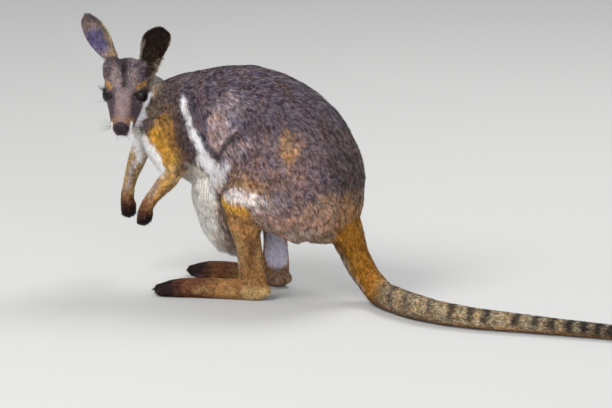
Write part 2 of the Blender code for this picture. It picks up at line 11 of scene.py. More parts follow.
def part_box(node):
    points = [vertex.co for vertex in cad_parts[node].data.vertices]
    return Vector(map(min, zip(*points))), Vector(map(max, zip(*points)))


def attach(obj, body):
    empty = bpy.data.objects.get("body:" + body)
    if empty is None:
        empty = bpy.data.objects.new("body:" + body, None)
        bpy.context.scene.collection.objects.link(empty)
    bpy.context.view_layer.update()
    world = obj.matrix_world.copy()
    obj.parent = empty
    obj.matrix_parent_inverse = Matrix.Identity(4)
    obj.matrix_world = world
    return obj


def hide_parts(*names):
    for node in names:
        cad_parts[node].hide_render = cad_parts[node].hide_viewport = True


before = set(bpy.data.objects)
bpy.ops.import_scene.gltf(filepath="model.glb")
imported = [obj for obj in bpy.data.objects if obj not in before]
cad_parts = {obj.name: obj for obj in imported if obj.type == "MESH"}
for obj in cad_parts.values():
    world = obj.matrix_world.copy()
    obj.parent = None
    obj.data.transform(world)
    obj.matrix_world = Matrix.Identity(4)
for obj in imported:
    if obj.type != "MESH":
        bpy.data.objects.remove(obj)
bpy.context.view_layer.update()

scene = bpy.context.scene


# ------------------------ stance and head
# The animal stands on the floor, facing -X, its left side -Y. The stance frame is in millimetres
# from the floor midway between the heels. The head is turned and tipped, so it has a frame of its
# own from the middle between the eyes: forward along the muzzle, left and up.
EYES_IN_STANCE = (-194.0, -45.3, 260.5)
NOSE_AHEAD, NOSE_BELOW = 54.0, 10.2


def unit(vectors):
    vectors = np.asarray(vectors, float)
    size = np.linalg.norm(vectors, axis=-1, keepdims=True)
    return vectors / np.maximum(size, 1e-12)


def centre_of(node):
    low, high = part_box(node)
    return np.array((low + high) / 2)


def head_frame():
    left_eye, right_eye = centre_of("eye_L"), centre_of("eye_R")
    left = unit(left_eye - right_eye)
    middle = (left_eye + right_eye) / 2
    to_nose = unit(centre_of("nose") - middle)
    over = unit(np.cross(to_nose, left))
    tilt = math.atan2(NOSE_BELOW, NOSE_AHEAD)
    forward = to_nose * math.cos(tilt) + over * math.sin(tilt)
    up = over * math.cos(tilt) - to_nose * math.sin(tilt)
    return middle, np.array([forward, left, up])


HEAD_MIDDLE, HEAD_AXES = head_frame()
STAND = HEAD_MIDDLE - np.array(EYES_IN_STANCE) * 0.001


def to_stance(points):
    """Metres in the frame to stance millimetres."""
    return (np.asarray(points) - STAND) * 1000.0


def from_head(rows):
    """Head millimetres (forward, left, up) to metres in the frame."""
    return np.asarray(rows, float) * 0.001 @ HEAD_AXES + HEAD_MIDDLE


def to_head(points):
    return (np.asarray(points) - HEAD_MIDDLE) @ HEAD_AXES.T * 1000.0


# ------------------------ camera
# The view is that of someone crouching some way off, a little behind square on to the animal's
# left side, with a long lens.
def add_object(name, data):
    item = bpy.data.objects.new(name, data)
    scene.collection.objects.link(item)
    return item


def add_camera():
    azimuth, elevation, distance = math.radians(20), math.radians(12), 5.2
    aim_right, aim_up = 0.036, 0.1178         # metres from the stance's origin, across the view
    back = Vector((
        math.sin(azimuth) * math.cos(elevation),
        -math.cos(azimuth) * math.cos(elevation),
        math.sin(elevation),
    ))
    side = Vector((math.cos(azimuth), math.sin(azimuth), 0))
    aim = Vector(STAND) + side * aim_right + back.cross(side) * aim_up
    data = bpy.data.cameras.new("camera")
    data.sensor_width = 36.0
    data.lens = 235.3
    data.clip_end = 60.0
    camera = add_object("camera", data)
    camera.location = aim + back * distance
    camera.rotation_euler = back.to_track_quat("Z", "Y").to_euler()
    scene.camera = camera


add_camera()


# ------------------------ ears
# Each ear is a cupped blade of thin skin on a stiff rolled root, furred outside and nearly bare
# inside. It is laid out here row by row and fused with the rest of the skin below.
EAR_LENGTH, EAR_WIDTH, EAR_WALL = 69.0, 39.5, 2.9
EAR_ROOT = (-38.0, 29.0, 20.0)                      # head frame, left ear
EAR_SUNK, EAR_CURL = -0.10, -9.0                    # share hidden in the head; the tip leans back
EAR_REACH = 26.0                                    # mm from its axis that belong to an ear
EAR_SHARES = (0.0, 0.18, 0.40, 0.60, 0.80, 0.93, 1.0)
EAR_WIDTHS = (0.66, 0.74, 0.90, 1.00, 0.96, 0.72, 0.30)
EAR_WRAPS = (100.0, 92.0, 74.0, 62.0, 54.0, 46.0, 38.0)
# lit: whether an ear's inside gets a painted reflection of the sky, or painted shade
EARS = {
    "ear_L": {"side": 1, "lean": (0.20, 0.27, 0.87), "open": (0.92, 0.20, 0.0), "lit": False,
              "broad": (1.0, 1.0, 1.0, 1.02, 1.02, 1.0, 1.0), "bow": (0.0, 0.0)},
    "ear_R": {"side": -1, "lean": (-0.20, -0.235, 0.88), "open": (0.90, -0.25, 0.1), "lit": True,
              "broad": (0.74, 0.88, 1.0, 0.96, 0.90, 0.78, 0.66), "bow": (9.0, -6.5)},
}


def ear_axes(name):
    setting = EARS[name]
    along = unit(setting["lean"])
    opening = np.array(setting["open"], float)
    opening = unit(opening - along * (opening @ along))
    wide = np.cross(along, opening)
    root = np.array(EAR_ROOT) * (1, setting["side"], 1)
    return root, along, opening, wide


def ear_blade(name):
    """Points of an ear's outer and inner faces, as two grids of rows and columns."""
    root, along, opening, wide = ear_axes(name)
    share = np.linspace(EAR_SUNK, 1.0, 46)
    padded = np.pad(share, 2, mode="edge")

    def eased(values):
        return np.convolve(np.interp(padded, EAR_SHARES, values), np.ones(5) / 5, "valid")

    half = eased(EAR_WIDTHS) * eased(EARS[name]["broad"]) * EAR_WIDTH / 2
    wrap = np.radians(eased(EAR_WRAPS))
    radius = np.where(wrap < math.pi / 2, half / np.sin(np.minimum(wrap, math.pi / 2)), half)
    wall = EAR_WALL * (1 - 0.2 * share)                       # thinner towards the tip
    hollow = np.clip((share - 0.05) / 0.22, 0, 1)[:, None]    # 0 in the solid root, 1 in the cup
    angle = wrap[:, None] * np.linspace(-1, 1, 33)
    chord = (radius * np.cos(wrap))[:, None]
    x = radius[:, None] * np.sin(angle)
    y = chord - radius[:, None] * np.cos(angle)
    inset = np.maximum(radius - wall, 0.3)[:, None]
    cup = chord - inset * np.cos(angle)
    deep = cup * hollow + np.maximum(cup, y + (0.3 - y) * 0.8) * (1 - hollow)
    low_bow, high_bow = EARS[name]["bow"]
    bow = low_bow * np.clip(1 - share, 0, 1) ** 2 + high_bow * np.clip(share, 0, 1) ** 3
    middle = (root + along * (EAR_LENGTH * share)[:, None]
              + opening * (EAR_CURL * share ** 2)[:, None] + wide * bow[:, None])
    outer = middle[:, None] + wide * x[..., None] + opening * y[..., None]
    inner = middle[:, None] + wide * (inset * np.sin(angle))[..., None] + opening * deep[..., None]
    return outer, inner


def beside_ear(head, name):
    """How far points of the head frame are past an ear's root, and from its axis (mm)."""
    root, along, _, _ = ear_axes(name)
    way = (head - root) @ along
    nearest = np.clip(way, -5, EAR_LENGTH)[:, None] * along
    return way, np.linalg.norm(head - root - nearest, axis=1)


def along_ears(points):
    """The same in the frame, for the nearer ear."""
    head = to_head(points)
    past, off = np.full(len(points), -99.0), np.full(len(points), 99.0)
    for name in EARS:
        way, gap = beside_ear(head, name)
        past, off = np.where(gap < off, way, past), np.minimum(gap, off)
    return past, off


def add_ear(bm, name):
    """A closed ear shell, in metres, added to a mesh under construction."""
    outer, inner = ear_blade(name)
    rows, columns = outer.shape[:2]
    front = [[bm.verts.new(point) for point in row] for row in from_head(outer)]
    rear = [[bm.verts.new(point) for point in row] for row in from_head(inner)]
    for i in range(rows - 1):
        for j in range(columns - 1):
            bm.faces.new((front[i][j], front[i][j + 1], front[i + 1][j + 1], front[i + 1][j]))
            bm.faces.new((rear[i][j], rear[i + 1][j], rear[i + 1][j + 1], rear[i][j + 1]))
        for j in (0, columns - 1):
            bm.faces.new((front[i][j], front[i + 1][j], rear[i + 1][j], rear[i][j]))
    for j in range(columns - 1):
        bm.faces.new((front[0][j], rear[0][j], rear[0][j + 1], front[0][j + 1]))
        bm.faces.new((front[-1][j], front[-1][j + 1], rear[-1][j + 1], rear[-1][j]))


# ------------------------ coat lie
# The coat is described as runs: a line along which the hair lies, how far each side the run counts,
# the hair's length and how many degrees it stands off the skin.
BODY_RUNS = [
    # nape, withers, back, rump
    ((-175, 0, 285), (-150, 0, 262), 26, 6.0, 16),
    ((-150, 0, 265), (-60, 0, 285), 52, 8.0, 13),
    ((-60, 0, 285), (20, 0, 275), 55, 9.0, 13),
    ((20, 0, 275), (80, 0, 235), 50, 9.0, 14),
    ((80, 0, 235), (108, 0, 175), 45, 8.5, 14),
    ((108, 0, 175), (108, 0, 115), 38, 7.5, 13),
    # throat, chest, breast to belly
    ((-178, 0, 235), (-185, 0, 215), 20, 6.0, 18),
    ((-190, 0, 215), (-180, 0, 160), 28, 9.0, 20),
    ((-175, 0, 160), (-120, 0, 140), 34, 9.0, 22),
    ((-118, 0, 150), (-100, 0, 105), 34, 12.0, 24),
    ((-85, 0, 110), (-72, 0, 55), 36, 13.0, 24),
    ((-55, 0, 90), (-20, 0, 100), 30, 10.0, 22),
    # under the tail
    ((40, 0, 75), (90, 0, 62), 26, 9.0, 22),
    # tail
    ((98, 0, 115), (108, 0, 62), 22, 6.5, 13),
    ((108, 0, 62), (130, -8, 26), 20, 6.0, 13),
    ((130, -8, 26), (180, -50, 16), 24, 5.5, 12),
    ((180, -50, 16), (258, -89, 14), 26, 5.2, 12),
    ((258, -89, 14), (420, -92, 11), 26, 4.8, 12),
    ((420, -92, 11), (560, -98, 9), 26, 5.2, 13),
    ((560, -98, 9), (620, -106, 8), 22, 6.5, 15),
    ((615, -106, 8), (655, -113, 5), 20, 9.0, 15),
]
SIDE_RUNS = [        # on the left, and mirrored on the right
    ((-135, -48, 250), (-105, -60, 190), 30, 7.0, 13),
    ((-95, -60, 250), (-70, -62, 190), 34, 8.5, 13),
    ((-50, -62, 245), (-10, -66, 200), 42, 8.5, 13),
    ((10, -62, 245), (60, -66, 195), 44, 8.5, 13),
    ((-85, -50, 165), (-70, -46, 120), 24, 10.0, 18),
    ((-30, -66, 190), (10, -74, 130), 40, 8.0, 13),
    ((40, -72, 200), (75, -66, 130), 42, 8.0, 13),
    ((20, -74, 130), (45, -66, 90), 36, 8.0, 14),
    ((80, -50, 130), (80, -45, 95), 26, 8.0, 16),
    ((-45, -72, 150), (-30, -70, 110), 26, 6.5, 13),
    ((-30, -58, 110), (-26, -50, 70), 24, 5.0, 12),
    ((-24, -50, 70), (-20, -42, 30), 20, 4.2, 12),
    ((-14, -40, 30), (-8, -38, 8), 16, 3.6, 12),
    ((-25, -42, 20), (-60, -47, 12), 18, 3.0, 11),
    ((-60, -47, 14), (-110, -55, 12), 20, 2.6, 11),
    ((-110, -55, 14), (-155, -62, 6), 18, 2.4, 12),
]
LEFT_ARM_RUNS = [
    ((-152, -45, 226), (-128, -55, 168), 26, 6.0, 13),
    ((-126, -49, 163), (-166, -46, 112), 18, 3.8, 12),
    ((-166, -46, 110), (-168, -46, 90), 14, 3.4, 10),
    ((-168, -46, 90), (-168, -46, 70), 14, 6.0, 7),
]
RIGHT_ARM_RUNS = [
    ((-172, 42, 222), (-206, 44, 175), 26, 6.0, 13),
    ((-208, 40, 170), (-225, 35, 110), 18, 3.8, 12),
    ((-225, 34, 104), (-222, 33, 84), 14, 3.4, 10),
    ((-222, 33, 84), (-220, 33, 64), 14, 6.0, 7),
]
HEAD_RUNS = [
    ((54, 0, 2), (34, 0, 10), 12, 1.3, 12),
    ((34, 0, 10), (8, 0, 22), 18, 1.8, 11),
    ((8, 0, 22), (-20, 0, 30), 20, 2.6, 12),
    ((-20, 0, 30), (-46, 0, 22), 22, 3.8, 14),
    ((-46, 0, 20), (-62, 0, 0), 24, 5.5, 16),
    ((56, 0, -22), (38, 0, -34), 14, 1.8, 14),
    ((38, 0, -34), (8, 0, -44), 18, 2.8, 14),
    ((8, 0, -44), (-24, 0, -44), 24, 4.8, 16),
]
CHEEK_RUNS = [       # on the left of the head, and mirrored
    ((52, 9, -14), (36, 15, -20), 12, 1.5, 13),
    ((36, 14, -8), (16, 19, -8), 13, 1.6, 11),
    ((34, 14, -22), (8, 24, -28), 15, 2.4, 13),
    ((10, 18, 10), (-12, 26, 16), 12, 2.0, 12),
    ((4, 26, -18), (-22, 30, -24), 16, 3.2, 14),
    ((-10, 30, -2), (-38, 32, -8), 18, 3.6, 14),
    ((-24, 30, -26), (-50, 28, -30), 22, 5.0, 16),
]


FLIP = np.array((1, -1, 1))          # carries the left side to the right


def mirrored(runs):
    return runs + [(start * FLIP, end * FLIP, *rest) for start, end, *rest in runs]


def near_line(points, line, squash=1.0):
    """Distance in millimetres from each point to a line through two or more others."""
    nearest = np.full(len(points), 1e3)
    for start, end in zip(line[:-1], line[1:]):
        start = np.asarray(start, float)
        way = np.asarray(end, float) - start
        share = np.clip((points - start) @ way / (way @ way), 0, 1)
        gap = points - start - share[:, None] * way
        if squash != 1:
            gap[:, 1] *= squash
        nearest = np.minimum(nearest, np.linalg.norm(gap, axis=1))
    return nearest


PLAIN_LENGTH, PLAIN_LIFT = 6.0, 14.0     # the coat where no run reaches
RUN_CORE = 0.62                          # share of its reach at which a run fades to 1/e
HEAD_FORCE = 3.0                         # how far runs of the head outweigh those of the body


def coat_lie(points):
    """Direction, length (mm) and lift (degrees) of the coat at each point of the frame."""
    total = np.full(len(points), 1e-9)
    direction = np.zeros((len(points), 3))
    length, lift = total * PLAIN_LENGTH, total * PLAIN_LIFT
    stance_runs = BODY_RUNS + mirrored(SIDE_RUNS) + LEFT_ARM_RUNS + RIGHT_ARM_RUNS
    head_runs = HEAD_RUNS + mirrored(CHEEK_RUNS)
    for runs, local, axes, force in (
            (stance_runs, to_stance(points), np.eye(3), 1.0),
            (head_runs, to_head(points), HEAD_AXES, HEAD_FORCE)):
        for start, end, reach, hair, stand in runs:
            distance = near_line(local, (start, end))
            falloff = np.minimum((distance / (reach * RUN_CORE)) ** 2, 80)
            weight = force * np.exp(-falloff) + 1e-12
            along = unit(np.subtract(end, start)) @ axes
            total += weight
            direction += weight[:, None] * along
            length += weight * hair
            lift += weight * stand
    return unit(direction), length / total, lift / total


# ------------------------ skin
# One skin stands for all the flesh: the solids and ears are fused, their facets smoothed out, and
# the surface drawn in by the depth of the coat that grows on it. Lids are raised over the eyeballs
# and a cleft is drawn for the mouth. Lengths below are in millimetres, but for SKIN_VOXEL.
FLESH = [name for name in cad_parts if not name.startswith(("claw", "eye", "nose"))]
SKIN_VOXEL = 0.00135
SKIN_FACES = 150000
EYE_RADIUS = 10.8
EYES = {"eye_L": 1, "eye_R": -1}
GAZE = (0.60, 0.70, 0.30)                 # head frame, left eye
LONG_AXIS = (1.0, 0.0, 0.45)              # towards the inner corner
OPENING_LONG, OPENING_UP, OPENING_DOWN = 1.50, 0.84, 0.72
OPEN = {"eye_L": 1.0, "eye_R": 0.88}      # the right eye is a little more closed
CORNER = 1.5                              # below 2, the corners of the eye are pointed
LID_THICK, LID_REACH = 0.6, 9.0           # beyond the eyeball
LID_EDGE, LID_EDGE_SOFT, SKIN_BEHIND = 0.15, 0.5, 2.4       # SKIN_BEHIND: behind the eyeball
CREASE_AT, CREASE_WIDE, CREASE_DEEP = 3.2, 0.9, 0.45
CLEFT_DEEP, CLEFT_WIDE, CLEFT_END = 1.05, 0.9, 22.0         # the mouth
LIP_FULL, LIP_AT, LIP_WIDE = 0.49, 2.6, 1.6
COAT_SHARE, COAT_LEAST = 0.8, 0.25        # depth of the coat: share of its hairs' rise, and more
EAR_HOLLOW = (-34.0, -40.0, 15.0)         # head frame, on the right
HOLLOW_DEPTH, HOLLOW_REACH = 7.0, 12.0
SHORT_COAT = 0.35                         # depth of the coat on hands and ears
HANDS = [((-166, -46, 106), (-168, -46, 72)), ((-224, 34, 100), (-221, 33, 68))]     # stance
MOUTH_MIDDLE, MOUTH_REACH = (48, 0, -20), 16
MOUTH = [(57.5, 0.0, -20.0), (54.5, 5.0, -22.5), (49.0, 9.0, -25.0), (40.0, 12.0, -26.5),
         (30.0, 15.0, -27.0), (21.0, 17.5, -26.0)]


def apply_modifiers(piece):
    """Makes the piece the plain mesh that its modifiers give."""
    graph = bpy.context.evaluated_depsgraph_get()
    mesh = bpy.data.meshes.new_from_object(piece.evaluated_get(graph))
    piece.modifiers.clear()
    piece.data = mesh


def fused_skin():
    """All the flesh and the ears as one closed mesh."""
    bm = bmesh.new()
    for name in FLESH + ["eye_L", "eye_R", "nose"]:
        if not name.startswith("ear"):
            bm.from_mesh(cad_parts[name].data)
    for name in EARS:
        add_ear(bm, name)
    mesh = bpy.data.meshes.new("skin")
    bm.to_mesh(mesh)
    bm.free()
    piece = add_object("skin", mesh)
    fuse = piece.modifiers.new("fuse", "REMESH")
    fuse.mode = "VOXEL"
    fuse.voxel_size = SKIN_VOXEL
    apply_modifiers(piece)
    return piece


def relax(values, edges, amounts):
    """Moves each point's values towards its neighbours' mean, once for each set of amounts."""
    first, second = edges[:, 0], edges[:, 1]
    count = len(values)
    degree = np.maximum(np.bincount(edges.ravel(), minlength=count), 1)
    for amount in amounts:
        mean = np.stack([
            np.bincount(first, column[second], count) + np.bincount(second, column[first], count)
            for column in values.T], axis=1) / degree[:, None]
        values = values + (mean - values) * amount[:, None]
    return values


def tree_of(spots):
    """A tree that finds the nearest of many spots."""
    tree = KDTree(len(spots))
    for number, spot in enumerate(spots):
        tree.insert(spot, number)
    tree.balance()
    return tree


def nearest_nodes(points):
    """Which of the flesh solids each point lies on, as an index into FLESH."""
    spots, owners = [], []
    for index, name in enumerate(FLESH):
        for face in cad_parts[name].data.polygons:
            spots.append(face.center)
            owners.append(index)
    tree = tree_of(spots)
    return np.array(owners)[[tree.find(point)[1] for point in points.tolist()]]


def points_of(mesh):
    """A mesh's points as rows, in metres."""
    flat = np.empty(len(mesh.vertices) * 3, np.float32)
    mesh.vertices.foreach_get("co", flat)
    return flat.reshape(-1, 3).astype(float)


def edges_of(mesh):
    flat = np.empty(len(mesh.edges) * 2, np.int32)
    mesh.edges.foreach_get("vertices", flat)
    return flat.reshape(-1, 2)


def triangles_of(mesh):
    mesh.calc_loop_triangles()
    flat = np.empty(len(mesh.loop_triangles) * 3, np.int32)
    mesh.loop_triangles.foreach_get("vertices", flat)
    return flat.reshape(-1, 3)


def normals_of(points, triangles):
    """A mesh's point normals, weighted by the areas of its triangles."""
    corner = points[triangles]
    face = np.cross(corner[:, 1] - corner[:, 0], corner[:, 2] - corner[:, 0])
    total = np.stack([
        sum(np.bincount(triangles[:, c], face[:, k], len(points)) for c in range(3))
        for k in range(3)], axis=1)
    return unit(total)


def move_points(mesh, points):
    mesh.vertices.foreach_set("co", np.ascontiguousarray(points, np.float32).ravel())
    mesh.update()


def smooth_skin(piece):
    """Smooths plain parts most, hands and feet least, keeps the volume, and thins out the faces."""
    mesh = piece.data
    points, edges = points_of(mesh), edges_of(mesh)
    owner = nearest_nodes(points)
    fine = np.array([name.startswith(("head", "hand", "foot")) for name in FLESH])[owner]
    thin = np.array([name.startswith(("hand", "foot")) for name in FLESH])[owner]
    past, off = along_ears(points)
    on_ear = (off < EAR_REACH - 2) & (past > 10)
    on_root = (off < EAR_REACH + 4) & (past > -14) & ~on_ear
    plain = ~(fine | on_ear)

    def softened(values, passes=6):                 # evens out a mask or a depth over the skin
        return relax(values[:, None], edges, [np.full(len(points), 0.8)] * passes)[:, 0]

    everywhere = softened(np.where(on_ear | thin, 0.25, 0.5))
    finely = softened(np.where(on_ear, 0.0, np.where(thin, 0.15, 0.4)))
    broad = softened(np.where(plain & ~on_root, 0.7, 0.0))
    roots = softened(np.where(on_root, 0.6, 0.0))
    smooth = relax(points, edges, [everywhere] * 6 + [finely] * 5 + [broad] * 42 + [roots] * 16)
    normals = normals_of(smooth, triangles_of(mesh))
    lost = softened(((points - smooth) * normals).sum(axis=1), 14)[:, None]
    move_points(mesh, smooth + normals * np.clip(lost, -0.002, 0.0035))
    group = piece.vertex_groups.new(name="plain")
    group.add(np.flatnonzero(plain).tolist(), 1.0, "REPLACE")
    lighten = piece.modifiers.new("lighten", "DECIMATE")
    lighten.ratio = SKIN_FACES / (2.0 * len(mesh.polygons))
    lighten.vertex_group = "plain"
    lighten.vertex_group_factor = 40.0
    apply_modifiers(piece)
    piece.vertex_groups.clear()


def refine(piece, centre, reach):
    """Halves the faces of the skin within reach of a point of the head frame."""
    bm = bmesh.new()
    bm.from_mesh(piece.data)
    middle = Vector(from_head(centre))
    near_faces = [f for f in bm.faces if (f.calc_center_median() - middle).length < reach * 0.001]
    edges = {edge for face in near_faces for edge in face.edges}
    bmesh.ops.subdivide_edges(bm, edges=list(edges), cuts=1, use_grid_fill=True, smooth=0.6)
    bm.to_mesh(piece.data)
    bm.free()


def eye_axes(name):
    """Centre, gaze, long axis and lid axis of an eye, in the head frame."""
    side = EYES[name]
    centre = to_head(centre_of(name))
    gaze = unit(np.array(GAZE) * (1, side, 1))
    long_axis = np.array(LONG_AXIS)
    long_axis = unit(long_axis - gaze * (long_axis @ gaze))
    lid = np.cross(long_axis, gaze)
    return centre, gaze, long_axis, lid if lid[2] > 0 else -lid


def eye_opening(head_points, name):
    """How far points lie outside the almond between the lids, in mm on the eyeball (inside < 0)."""
    centre, gaze, long_axis, lid = eye_axes(name)
    ray = unit(head_points - centre)
    depth = np.maximum(1 + ray @ gaze, 0.05)
    p = 2 * (ray @ long_axis) / depth / OPENING_LONG / OPEN[name]
    q = 2 * (ray @ lid) / depth / OPEN[name]
    q = q / np.where(q > 0, OPENING_UP, OPENING_DOWN)
    return (np.sqrt(np.abs(p) ** CORNER + q ** 2) - 1) * EYE_RADIUS * 0.95


def raise_lids(points):
    """Lays the skin over the eyeballs as lids, and sinks it behind them in the openings."""
    head = to_head(points)
    for name in EYES:
        centre = eye_axes(name)[0]
        out = head - centre
        distance = np.linalg.norm(out, axis=1)
        close = distance < EYE_RADIUS + LID_REACH
        outside = eye_opening(head[close], name)
        inside = np.clip((LID_EDGE - outside) / LID_EDGE_SOFT, 0, 1)
        crease = CREASE_DEEP * np.exp(-((outside - CREASE_AT) / CREASE_WIDE) ** 2)
        lid = np.maximum(distance[close], EYE_RADIUS + LID_THICK - crease * 0.5) - crease
        target = lid * (1 - inside) + (EYE_RADIUS - SKIN_BEHIND) * inside
        head[close] = centre + out[close] * (target / distance[close])[:, None]
    return from_head(head)


def cleave_mouth(points, normals):
    """Draws the cleft of the mouth, between full lips."""
    head = to_head(points)
    for flip in (1, FLIP):
        distance = near_line(head, np.array(MOUTH) * flip, 0.35)
        depth = CLEFT_DEEP * np.exp(-(distance / CLEFT_WIDE) ** 2)
        depth *= np.abs(head[:, 1]) < CLEFT_END
        bulge = LIP_FULL * np.exp(-((distance - LIP_AT) / LIP_WIDE) ** 2)
        head = head - (normals @ HEAD_AXES.T) * (depth - bulge)[:, None]
    return from_head(head)


def let_in(points):
    """Draws the head in outside the foot of the right ear, which stands near the crown."""
    head = to_head(points)
    away = np.linalg.norm(head - EAR_HOLLOW, axis=1)
    head[:, 1] += HOLLOW_DEPTH * np.exp(-(away / HOLLOW_REACH) ** 2)
    return from_head(head)


def shade_smooth(mesh):
    """Shades the whole mesh as a smooth surface."""
    mesh.polygons.foreach_set("use_smooth", np.ones(len(mesh.polygons), bool))


def dress_down(piece):
    """Draws the skin in by the depth of the coat, then forms the lids and the mouth."""
    mesh = piece.data
    points, triangles = let_in(points_of(mesh)), triangles_of(mesh)
    normals = normals_of(points, triangles)
    _, length, lift = coat_lie(points)
    depth = length * np.sin(np.radians(lift)) * COAT_SHARE + COAT_LEAST
    past, off = along_ears(points)
    depth = np.where((off < EAR_REACH) & (past > 6), SHORT_COAT, depth)
    for hand in HANDS:
        close = near_line(to_stance(points), hand) < 20
        depth = np.where(close, np.minimum(depth, SHORT_COAT), depth)
    points = points - normals * (depth * 0.001)[:, None]
    points = raise_lids(cleave_mouth(points, normals))
    points[:, 2] = np.maximum(points[:, 2], 0.0001)
    move_points(mesh, points)
    shade_smooth(mesh)


skin = fused_skin()
smooth_skin(skin)
for eye in EYES:
    refine(skin, eye_axes(eye)[0], EYE_RADIUS + 7)
refine(skin, MOUTH_MIDDLE, MOUTH_REACH)
dress_down(skin)


# ------------------------ markings
# Skin and coat carry the same markings: lilac-grey back, rufous neck, arms and shanks, white cheek,
# flank and hip stripes, white chest and belly, dark hands, toes and forehead line, ringed tail.
# A colour is linear red, green, blue and how strongly its hairs are ticked dark and pale.
COLOURS = {
    "back": (0.077, 0.055, 0.072, 1.3),
    "rump": (0.078, 0.052, 0.049, 1.0),
    "loin": (0.300, 0.165, 0.080, 0.9),
    "thigh": (0.150, 0.096, 0.099, 1.25),
    "thigh_low": (0.350, 0.210, 0.155, 1.1),
    "rib": (0.330, 0.245, 0.250, 1.2),
    "umber": (0.048, 0.032, 0.037, 0.7),
    "charcoal": (0.009, 0.005, 0.008, 0.35),
    "rufous": (0.275, 0.148, 0.064, 1.1),
    "shoulder": (0.300, 0.146, 0.030, 0.7),
    "orange": (0.720, 0.360, 0.028, 0.6),
    "tail_orange": (0.300, 0.122, 0.006, 0.6),
    "shank": (0.330, 0.160, 0.054, 0.7),
    "cream": (0.520, 0.420, 0.320, 0.5),
    "ochre": (0.490, 0.310, 0.130, 0.6),
    "buff": (0.320, 0.238, 0.140, 0.9),
    "white": (0.860, 0.810, 0.810, 0.2),
    "knee": (0.740, 0.630, 0.590, 0.4),
    "belly": (0.860, 0.790, 0.710, 0.3),
    # painted shade: the shaded sides of the belly, the armpit and the far heel
    "painted_shade_brown": (0.200, 0.120, 0.085, 0.8),
    "lilac": (0.260, 0.210, 0.235, 0.6),
    # pale fur of the inner shanks, with a painted lilac tint of bluish shade
    "pale_lilac": (0.680, 0.620, 0.740, 0.4),
    "brown": (0.118, 0.038, 0.015, 0.6),
    "black": (0.012, 0.004, 0.004, 0.3),
    "paw": (0.260, 0.110, 0.040, 0.6),
    "mane": (0.225, 0.178, 0.138, 1.4),
    "face": (0.106, 0.074, 0.094, 1.0),
    "brow_grey": (0.300, 0.235, 0.215, 0.5),
    "bridge": (0.268, 0.188, 0.190, 0.5),
    "brow": (0.450, 0.230, 0.068, 0.7),
    "lore": (0.085, 0.058, 0.070, 0.4),
    "bed": (0.330, 0.165, 0.055, 0.5),
    "lip": (0.860, 0.800, 0.800, 0.2),
    "ruff": (0.122, 0.090, 0.070, 1.5),
    "nape": (0.095, 0.066, 0.066, 0.9),
    "ear_back": (0.350, 0.250, 0.160, 0.9),
    "ear_tip": (0.125, 0.095, 0.130, 0.5),
    # dark inner-ear skin, deepened by painted shade
    "ear_dark_skin_and_shade": (0.034, 0.017, 0.012, 0.7),
    # painted lilac reflection of the sky on bare inner-ear skin
    "ear_painted_sky_reflection": (0.130, 0.108, 0.225, 0.6),
}
# Each stroke: colour, its line, how far it reaches each side (mm), how soft its edge is, strength.
# Strokes are laid one over another in the order given.
FLANK_STROKES = [      # stance frame, on the left, and mirrored
    ("thigh", [(20, -74, 175), (30, -74, 120)], 48, 30, 1.0),
    ("thigh", [(-10, -70, 165), (-22, -70, 190)], 22, 16, 0.7),
    ("rufous", [(31, -60, 219), (37, -66, 205)], 8, 11, 0.9),
    ("rufous", [(-46, -62, 176), (-20, -72, 168)], 6, 12, 0.5),
    ("rufous", [(10, -74, 165), (36, -72, 172)], 6, 14, 0.35),
    ("rufous", [(30, -66, 92), (75, -60, 100)], 22, 20, 0.4),
    ("rump", [(100, -20, 200), (112, -10, 140)], 30, 24, 0.9),
    ("loin", [(84, -50, 128), (110, 0, 112)], 24, 18, 0.9),
    ("loin", [(60, -34, 86), (96, -14, 84)], 14, 10, 0.9),
    ("cream", [(26, -58, 78), (50, -58, 82), (80, -40, 82)], 4, 9, 0.45),
    ("rib", [(-62, -60, 232), (-56, -61, 214)], 14, 10, 1.0),
    ("rib", [(-48, -51, 262), (-56, -58, 244)], 12, 14, 0.55),
    ("thigh_low", [(-6, -76, 108), (36, -72, 106), (78, -60, 116)], 20, 16, 0.8),
    ("cream", [(4, -73, 106), (36, -68, 100), (72, -58, 104)], 3, 7, 0.5),
    # painted highlight along the lower edge of the crease between flank and thigh
    ("rib", [(-58, -57, 180), (-40, -64, 199), (-26, -64, 214)], 4, 7, 0.9),
    # painted shade in that crease
    ("umber", [(-66, -59, 192), (-49, -63, 211), (-35, -63, 222), (-26, -62, 232)], 2.6, 4, 0.95),
    ("umber", [(-26, -62, 232), (-9, -61, 236), (10, -59, 234)], 2.0, 6, 0.5),
    ("shoulder", [(-148, -47, 240), (-126, -55, 168)], 27, 8, 1.0),
    ("shoulder", [(-150, -44, 246), (-146, -50, 216)], 15, 6, 1.0),
    ("orange", [(-150, -56, 212), (-134, -62, 180)], 9, 12, 0.5),
    ("umber", [(-140, -34, 262), (-122, -51, 240), (-108, -55, 200), (-104, -50, 168)], 9, 7, 0.85),
    ("white", [(-118, -41, 260), (-106, -52, 242), (-97, -57, 223)], 2.4, 4.6, 0.85),
    ("white", [(-97, -57, 223), (-87, -58, 204), (-77, -57, 188)], 4.8, 4.0, 0.97),
    ("white", [(-82, -56, 186), (-72, -55, 173), (-64, -51, 158)], 10.5, 5.0, 1.0),
    ("white", [(-62, -56, 172), (-53, -59, 183)], 3.6, 6, 0.85),
    ("rufous", [(-50, -68, 158), (-30, -74, 162), (0, -78, 162)], 6, 8, 0.8),
    ("knee", [(-50, -70, 143), (-29, -77, 148), (-12, -79, 145)], 6.5, 8, 1.0),
    ("knee", [(-12, -79, 145), (16, -79, 140)], 5.0, 12, 0.5),
    ("orange", [(-50, -68, 132), (-36, -73, 126), (-22, -76, 126)], 7.5, 6, 1.0),
    ("orange", [(-44, -70, 124), (-36, -66, 104)], 8, 6, 0.8),
]
